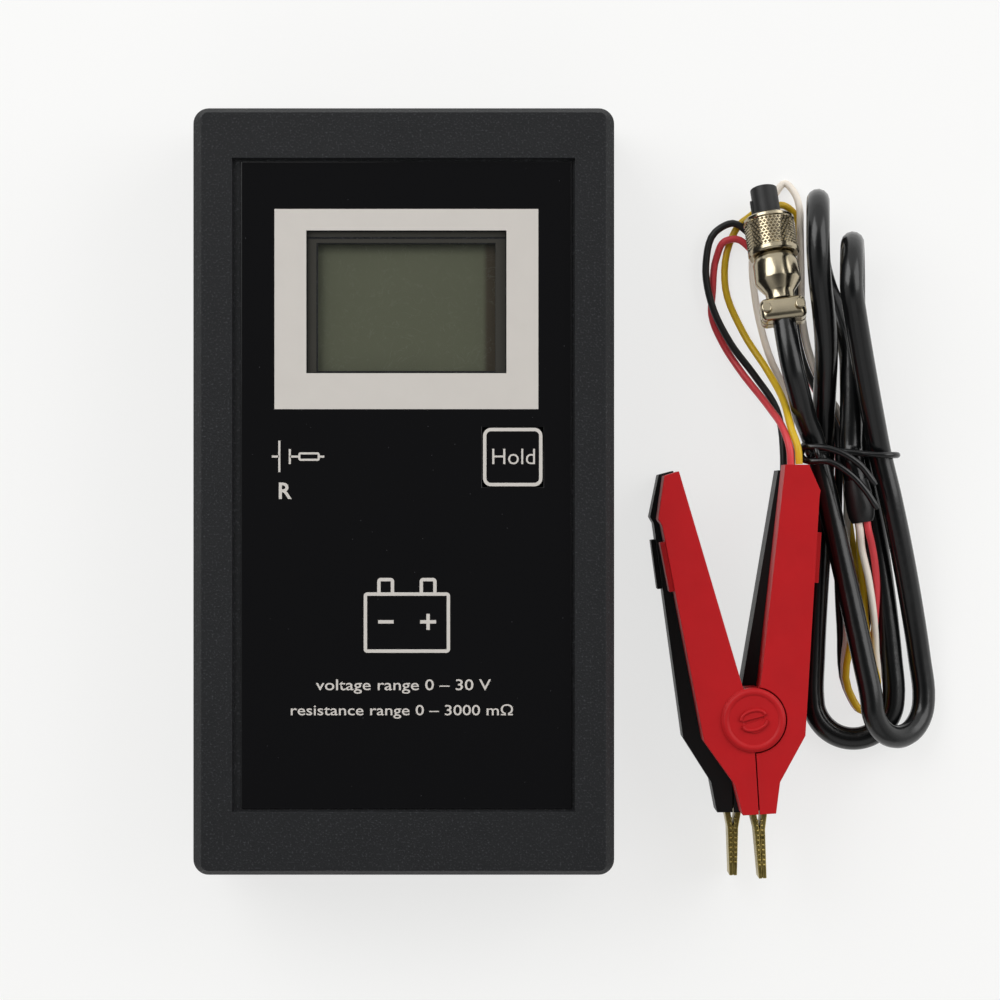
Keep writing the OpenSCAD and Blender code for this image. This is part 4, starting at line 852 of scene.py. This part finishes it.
class TESTER_OT_case(bpy.types.Operator):
    """Both case halves, the end plate, the battery door and the case screws"""
    bl_idname = "tester.case"
    bl_label = "Case"

    def execute(self, context):
        look = looks(context, "case")
        plastic = case_plastic(context)
        for node in ("front_case", "rear_case", "end_panel", "battery_door"):
            radius = look.edge if node == "front_case" else look.edge / 2
            rounded_node(node, plastic, "case_plastic", radius)
        low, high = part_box("case_screws")
        head, head_height, shank, shank_top = 5.4 * MM, 2.4 * MM, 2.4 * MM, 19.0 * MM
        mesh = grow(screw_tree(), PitchX=high[0] - low[0] - head, PitchY=high[1] - low[1] - head, Head=head,
                    HeadHeight=head_height, Shank=shank, ShankLength=shank_top - low[2] - head_height,
                    Material=zinc_plate())
        mesh.transform(Matrix.Translation(((low[0] + high[0]) / 2, (low[1] + high[1]) / 2,
                                           low[2] + head_height / 2)))
        piece("case_screws_look", settle(mesh), zinc_plate(), "tester", "steel", "case_screws")
        return {"FINISHED"}


class TESTER_OT_panel(bpy.types.Operator):
    """Glossy film with its printing, and the hold key"""
    bl_idname = "tester.panel"
    bl_label = "Panel film"

    # The ink lies this far above the film, in millimetres
    ink_lift = 0.012

    def execute(self, context):
        look = looks(context, "panel")
        film = film_plastic(context)
        rounded_node("graphic_overlay", film, "gloss_film", 0.12 * MM)
        rounded_node("hold_key", film, "gloss_film", 0.3 * MM)
        pale = ink(context)
        for name, node, body in (("panel", "graphic_overlay", "tester"), ("key", "hold_key", "key")):
            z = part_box(node)[1][2] / MM + self.ink_lift
            printed = mesh_from(lambda s: getattr(self, name + "_print")(s, look, z))
            piece(name + "_print", printed, pale, body, "white_plastic")
        return {"FINISHED"}

    def panel_print(self, shape, look, z):
        """Display frame, battery and resistor symbol, letter R, battery picture and two range lines."""
        thin, bold = look.stroke / MM, look.bold_stroke / MM
        (x0, y0, _), (x1, y1, _) = [[v / MM for v in corner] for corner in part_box("display_window")]
        x0, y0, x1, y1 = x0 - 0.1, y0 - 0.1, x1 + 0.1, y1 + 0.1
        side, top, foot = look.frame_stroke_side / MM, look.frame_stroke_top / MM, 7.2
        bar(shape, (x0 - side, y1), (x1 + side, y1 + top), z)
        bar(shape, (x0 - side, y0 - foot), (x1 + side, y0), z)
        bar(shape, (x0 - side, y0), (x0, y1), z)
        bar(shape, (x1, y0), (x1 + side, y1), z)
        # Cell symbol in series with a resistor
        line_y = 7.0
        for low, high in (((-26.4, line_y), (-24.9, line_y)), ((-22.8, line_y), (-21.1, line_y)),
                          ((-16.8, line_y), (-15.9, line_y))):
            bar(shape, (low[0], line_y - thin / 2), (high[0], line_y + thin / 2), z)
        bar(shape, (-24.9 - thin / 2, 3.9), (-24.9 + thin / 2, 10.2), z)
        bar(shape, (-22.8 - thin / 2, 5.5), (-22.8 + thin / 2, 8.5), z)
        outline(shape, (-21.1, 6.15), (-16.8, 7.85), thin, 0.06, z)
        # Car battery picture, generic, with its two posts and their signs
        outline(shape, (-8.0, -32.3), (9.3, -20.2), bold, 0.5, z)
        for x in (-5.3, 3.2):
            outline(shape, (x, -20.2 - bold), (x + 3.4, -17.3), bold, 0.3, z + 0.002)
        bar(shape, (-5.1, -26.1 - bold / 2), (-2.0, -26.1 + bold / 2), z)
        bar(shape, (3.3, -26.1 - bold / 2), (6.5, -26.1 + bold / 2), z)
        bar(shape, (4.9 - bold / 2, -27.7), (4.9 + bold / 2, -24.5), z + 0.002)
        for text, low, high, weight in (
                ("R", (-25.0, -1.5), (-22.4, 1.8), 0.02),
                ("voltage range 0 – 30 V", (-17.6, -40.5), (17.5, -37.6), 0.006),
                ("resistance range 0 – 3000 mΩ", (-22.6, -45.5), (21.9, -42.6), 0.006)):
            lettering(shape, text, low, high, z, weight)

    def key_print(self, shape, look, z):
        """The key's outline and its word."""
        low, high = [[v / MM for v in corner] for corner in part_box("hold_key")]
        outline(shape, (low[0] + 0.05, low[1] + 0.05), (high[0] - 0.05, high[1] - 0.05),
                look.bold_stroke / MM, 1.6, z)
        lettering(shape, "Hold", (17.75, 5.45), (26.3, 8.55), z, -0.004)


class TESTER_OT_display(bpy.types.Operator):
    """Liquid crystal glass and the clear window over it"""
    bl_idname = "tester.display"
    bl_label = "Display"

    def execute(self, context):
        look = looks(context, "display")

        def bands(add, place, tone):
            """Browner towards the right edge, darker at the top with painted shade from the window's upper
            wall, faintly scratched.
            """
            parts = add("ShaderNodeSeparateXYZ", {0: place}).outputs
            right = add("ShaderNodeMapRange", {"Value": parts["X"], "From Min": 15.6 * MM,
                                               "From Max": 17.0 * MM}, interpolation_type="SMOOTHSTEP")
            # Painted shade: the window's upper wall shades the top edge of the display.
            top = add("ShaderNodeMapRange", {"Value": parts["Y"], "From Min": 47.6 * MM, "From Max": 49.4 * MM,
                                             "To Max": 0.55})
            bent = add("ShaderNodeTexNoise", {"Vector": place, "Scale": 90.0}).outputs["Color"]
            warped = add("ShaderNodeVectorMath", {0: bent, 1: (0.02, 0.02, 0.02)}, operation="MULTIPLY")
            moved = add("ShaderNodeVectorMath", {0: warped, 1: place}, operation="ADD")
            hairs = add("ShaderNodeTexNoise", {"Vector": moved, "Scale": 320.0, "Detail": 6.0})
            thin = add("ShaderNodeMath", {0: hairs, 1: 0.5, 2: 0.006}, operation="COMPARE")
            faint = add("ShaderNodeMath", {0: thin, 1: 0.16}, operation="MULTIPLY")
            # The second pair paints that shade at the top in a darker grey green.
            for share, other in ((right, look.band), (top, linear("#34362c")), (faint, linear("#8a8d80"))):
                tone = add("ShaderNodeMix", {"Factor": share, 6: tone, 7: other}, data_type="RGBA").outputs[2]
            return tone

        glass = finish("Liquid crystal glass", look.glass, 0.25, mottle=20, contrast=0.05, paint=bands, IOR=1.5)
        paint_node(glass, "lcd_glass")
        # Nearly clear, with a little grey of its own in place of a dark tint
        clear = finish("Clear acrylic", linear("#2c2e2c"), 0.06, mottle=20, contrast=0.02, IOR=1.49, Alpha=0.1)
        paint_node(clear, "display_window")
        # A dark sheet under the window: partly the display's bezel, partly painted shade along the window's
        # walls.
        mask = plain_plastic("Display mask print", look.mask, 0.5)
        piece("display_mask", mesh_from(self.mask), mask, "tester", "black_plastic")
        return {"FINISHED"}

    def mask(self, shape):
        """Dark olive border under the window at the left, right and top of what is seen of the display, none at
        the bottom: partly the display's bezel, partly painted shade from the window's walls.
        """
        low, high = [[v / MM for v in corner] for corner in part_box("display_window")]
        z, side, top = low[2] + 0.05, 2.1, 2.3
        bar(shape, (low[0] + 0.1, low[1] + 0.1), (low[0] + side - 0.25, high[1] - top), z)
        bar(shape, (high[0] - side, low[1] + 0.1), (high[0] - 0.1, high[1] - top), z)
        bar(shape, (low[0] + 0.1, high[1] - top), (high[0] - 0.1, high[1] - 1.55), z)
        bar(shape, (low[0] + 0.1, high[1] - 1.1), (high[0] - 0.1, high[1] - 0.1), z)


class TESTER_OT_inside(bpy.types.Operator):
    """Board, display holder, battery and everything else inside the case"""
    bl_idname = "tester.inside"
    bl_label = "Inside"

    def execute(self, context):
        moulded = plain_plastic("Moulded black", linear("#1b1b1c"))
        ivory = plain_plastic("Moulded ivory", linear("#ddd9cd"))
        paint_node(moulded, "tact_plunger", "mcu_chip", "analog_chips", "battery_snap", "socket_insert",
                   "power_switch_slider")
        paint_node(ivory, "lcd_holder", "lcd_backlight", "pcb_header")
        for name, code, roughness, node in (
                ("Conductive rubber", "#c9bfb0", 0.7, "lcd_contact_strips"),
                ("Solder mask", "#1f5a3a", 0.3, "main_pcb"),
                ("Capacitor sleeve", "#2b3f74", 0.3, "pcb_capacitors"),
                ("Battery jacket", "#3b3f46", 0.35, "battery_9v"), ("Foam pad", "#4b4f52", 0.9, "battery_pad")):
            paint_node(plain_plastic(name, linear(code), roughness), node)
        paint_node(zinc_plate(), "tact_switch", "pcb_screws", "power_switch_body")
        paint_node(nickel_plate(context), "socket_shell", "socket_nut")
        paint_node(aged_brass(context), "socket_pins")
        paint_node(insulation(context, "red"), "socket_harness", "battery_leads")
        return {"FINISHED"}


class TESTER_OT_plug(bpy.types.Operator):
    """Locking plug with its knurled nut and cable clamp"""
    bl_idname = "tester.plug"
    bl_label = "Plug"

    # Turned shell from its bore to its waist, as (radius, distance from the plug's tip) in millimetres
    shell = [(0, 11.85), (2.85, 11.85), (2.85, 6.8), (3.3, 6.8), (3.3, 10.8), (4.3, 10.8), (4.3, 11.8),
             (3.3, 11.8), (3.3, 15.3), (4.0, 15.3), (4.2, 15.45), (4.74, 16.8), (4.8, 17.1), (4.8, 20.7),
             (4.7, 21.1), (3.2, 23.1), (3.0, 23.5), (3.0, 25.1), (0, 25.1)]

    def execute(self, context):
        look = looks(context, "plug")
        nickel = nickel_plate(context)
        phenolic = plain_plastic("Phenolic insert", linear("#060607"), 0.5)
        rounded_node("plug_insert", phenolic, "black_plastic", 0.25 * MM)
        shell = mesh_from(lambda s: lathe(s, self.shell, plug_place(), 72))
        piece("plug_shell_look", settle(shell, 30), nickel, "tester", "nickel", "plug_shell")
        rounded_node("clamp_screws", nickel, "steel", 0.3 * MM)
        piece("cable_clamp_look", settle(mesh_from(self.clamp), 60), nickel, "tester", "nickel", "cable_clamp")
        paint_node(aged_brass(context), "plug_pins")
        nut = mesh_from(lambda s: self.nut(s, look, nickel))
        piece("coupling_nut_look", settle(nut, 25), nickel, "plug_nut", "nickel", "coupling_nut")
        return {"FINISHED"}

    def nut(self, shape, look, nickel):
        """Turned ring with a band of knurls in its groove."""
        start, radius, band_start, band = 6.7, 5.3, 1.2, 5.8
        groove = radius - look.knurl_height / MM
        lathe(shape, [(4.6, 0), (4.9, 0), (radius, 0.35), (radius, 0.9), (groove, 1.15), (groove, 7.1),
                      (radius, 7.35), (radius, 8.05), (5.0, 8.4), (3.35, 8.4), (3.35, 5.2), (4.6, 5.2)],
              plug_place(start))
        knurls = grow(knurl_tree(), Radius=(groove - 0.03) * MM, Length=band * MM, Count=look.knurl_count,
                      Rows=look.knurl_rows, Height=look.knurl_height, Material=nickel)
        knurls.transform(plug_place(start + band_start))
        shape.from_mesh(knurls)

    def clamp(self, shape):
        """Two cast saddles with rounded backs and a narrow gap between them, drawn together by the screws."""
        width, height, deep, soft, gap, inner, steps = 9.4, 3.3, 4.8, 1.3, 0.1, 0.3, 5
        for side in (-1, 1):
            rings = []
            for along in range(2 * steps + 2):
                # Along the cable the saddle swells from a smaller end face and back
                turn = math.pi / 2 * min(along, 2 * steps + 1 - along) / steps
                r, place = soft * math.sin(turn), soft * (1 - math.cos(turn))
                arcs = corner_arcs([(height - soft, width / 2 - soft, r, r, 0),
                                    (gap + inner, width / 2 - soft, min(inner, r), r, 90),
                                    (gap + inner, soft - width / 2, min(inner, r), r, 180),
                                    (height - soft, soft - width / 2, r, r, 270)], steps)
                at = place if along <= steps else deep - place
                rings.append([shape.verts.new(plug_place(TUBE_END) @ (Vector((side * x, y, at)) * MM))
                              for x, y in arcs])
            skin(shape, rings)
        bmesh.ops.recalc_face_normals(shape, faces=shape.faces)


class TESTER_OT_clips(bpy.types.Operator):
    """Red and black clips with their pins, springs and toothed jaws"""
    bl_idname = "tester.clips"
    bl_label = "Clips"

    # Raised rim of the round pivot cover, as (radius, height) in millimetres
    rim = [(4.9, 10.9), (5.1, 11.1), (5.5, 11.3), (5.9, 11.3), (6.25, 11.1), (6.4, 10.9)]

    def boss(self, shape, place):
        """The pin's split head: two raised lips beside a slot, and the slot's floor."""
        turn = math.radians(12)

        def spot(x, y, z):
            return clip_point(place, x * math.cos(turn) - y * math.sin(turn),
                              x * math.sin(turn) + y * math.cos(turn), z)

        for side in (-1, 1):
            lip = [spot(2.5 * math.cos(a), side * (0.62 + 1.35 * math.sin(a)), 11.25)
                   for a in [math.pi * k / 12 for k in range(13)]]
            tube(shape, lip, [0.36] * 13, 10)
        tube(shape, [spot(-2.5, 0, 10.5), spot(2.5, 0, 10.5)], [0.55, 0.55], 4)

    def execute(self, context):
        look = looks(context, "clip")
        brass = aged_brass(context)
        for name, place in (("red", RED_CLIP), ("black", BLACK_CLIP)):
            plastic = nylon(context, name)
            for node in ("fixed_lever", "moving_lever", "pin"):
                rounded_node(f"{name}_clip_{node}", plastic, "clip_" + name,
                             look.edge if node != "pin" else 0.12 * MM)
            paint_node(zinc_plate(), name + "_clip_spring")
            rim = mesh_from(lambda s: lathe(s, self.rim, Matrix.Translation(clip_point(place, 0, 0, 0) * MM)))
            piece(name + "_clip_rim", settle(rim, 60), plastic, body_of(name + "_clip_moving_lever"),
                  "clip_" + name)
            boss = mesh_from(lambda s: self.boss(s, place))
            piece(name + "_clip_boss", settle(boss, 60), plastic, body_of(name + "_clip_pin"), "clip_" + name)
            for side, node in ((1, "fixed_jaw"), (-1, "moving_jaw")):
                full = f"{name}_clip_{node}"
                rounded_node(full, brass, "brass", 0.15 * MM)
                # The teeth stand along the strip's top edge, 11 mm of it
                start = clip_point(place, side * 0.45, -20.6, 8.72)
                step = clip_point(place, side * 0.45, -20.6 - look.tooth / MM, 8.72) - start
                mesh = grow(tooth_tree(), Start=tuple(start * MM), Step=tuple(step * MM),
                            Count=int(11.0 * MM / look.tooth), Radius=0.3 * MM, Material=brass)
                piece(full + "_teeth", settle(mesh, 80), brass, body_of(full), "brass")
        return {"FINISHED"}


class TESTER_PT_panel(bpy.types.Panel):
    """Lists the tester's pieces and their settings"""
    bl_label = "Battery tester"
    bl_idname = "TESTER_PT_panel"
    bl_space_type = "VIEW_3D"
    bl_region_type = "UI"
    bl_category = "Tester"

    def draw(self, context):
        for step in STEPS:
            self.layout.operator("tester." + step)
        for group, kind in GROUPS.items():
            column = self.layout.column(heading=group)
            for name in kind.__annotations__:
                column.prop(looks(context, group), name)


STEPS = ["stage", "leads", "case", "panel", "display", "inside", "plug", "clips"]
CLASSES = (*GROUPS.values(), TESTER_OT_stage, TESTER_OT_leads, TESTER_OT_case, TESTER_OT_panel,
           TESTER_OT_display, TESTER_OT_inside, TESTER_OT_plug, TESTER_OT_clips, TESTER_PT_panel)


def register():
    for kind in CLASSES:
        bpy.utils.register_class(kind)
    for group, kind in GROUPS.items():
        setattr(bpy.types.Scene, "tester_" + group, PointerProperty(type=kind))


def unregister():
    for group in GROUPS:
        delattr(bpy.types.Scene, "tester_" + group)
    for kind in reversed(CLASSES):
        bpy.utils.unregister_class(kind)


def corners(box):
    """A box as plain lists of numbers."""
    return [[float(v) for v in corner] for corner in box]


def main():
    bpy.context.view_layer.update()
    register()
    for step in STEPS:
        getattr(bpy.ops.tester, step)()


if __name__ == "__main__":
    main()
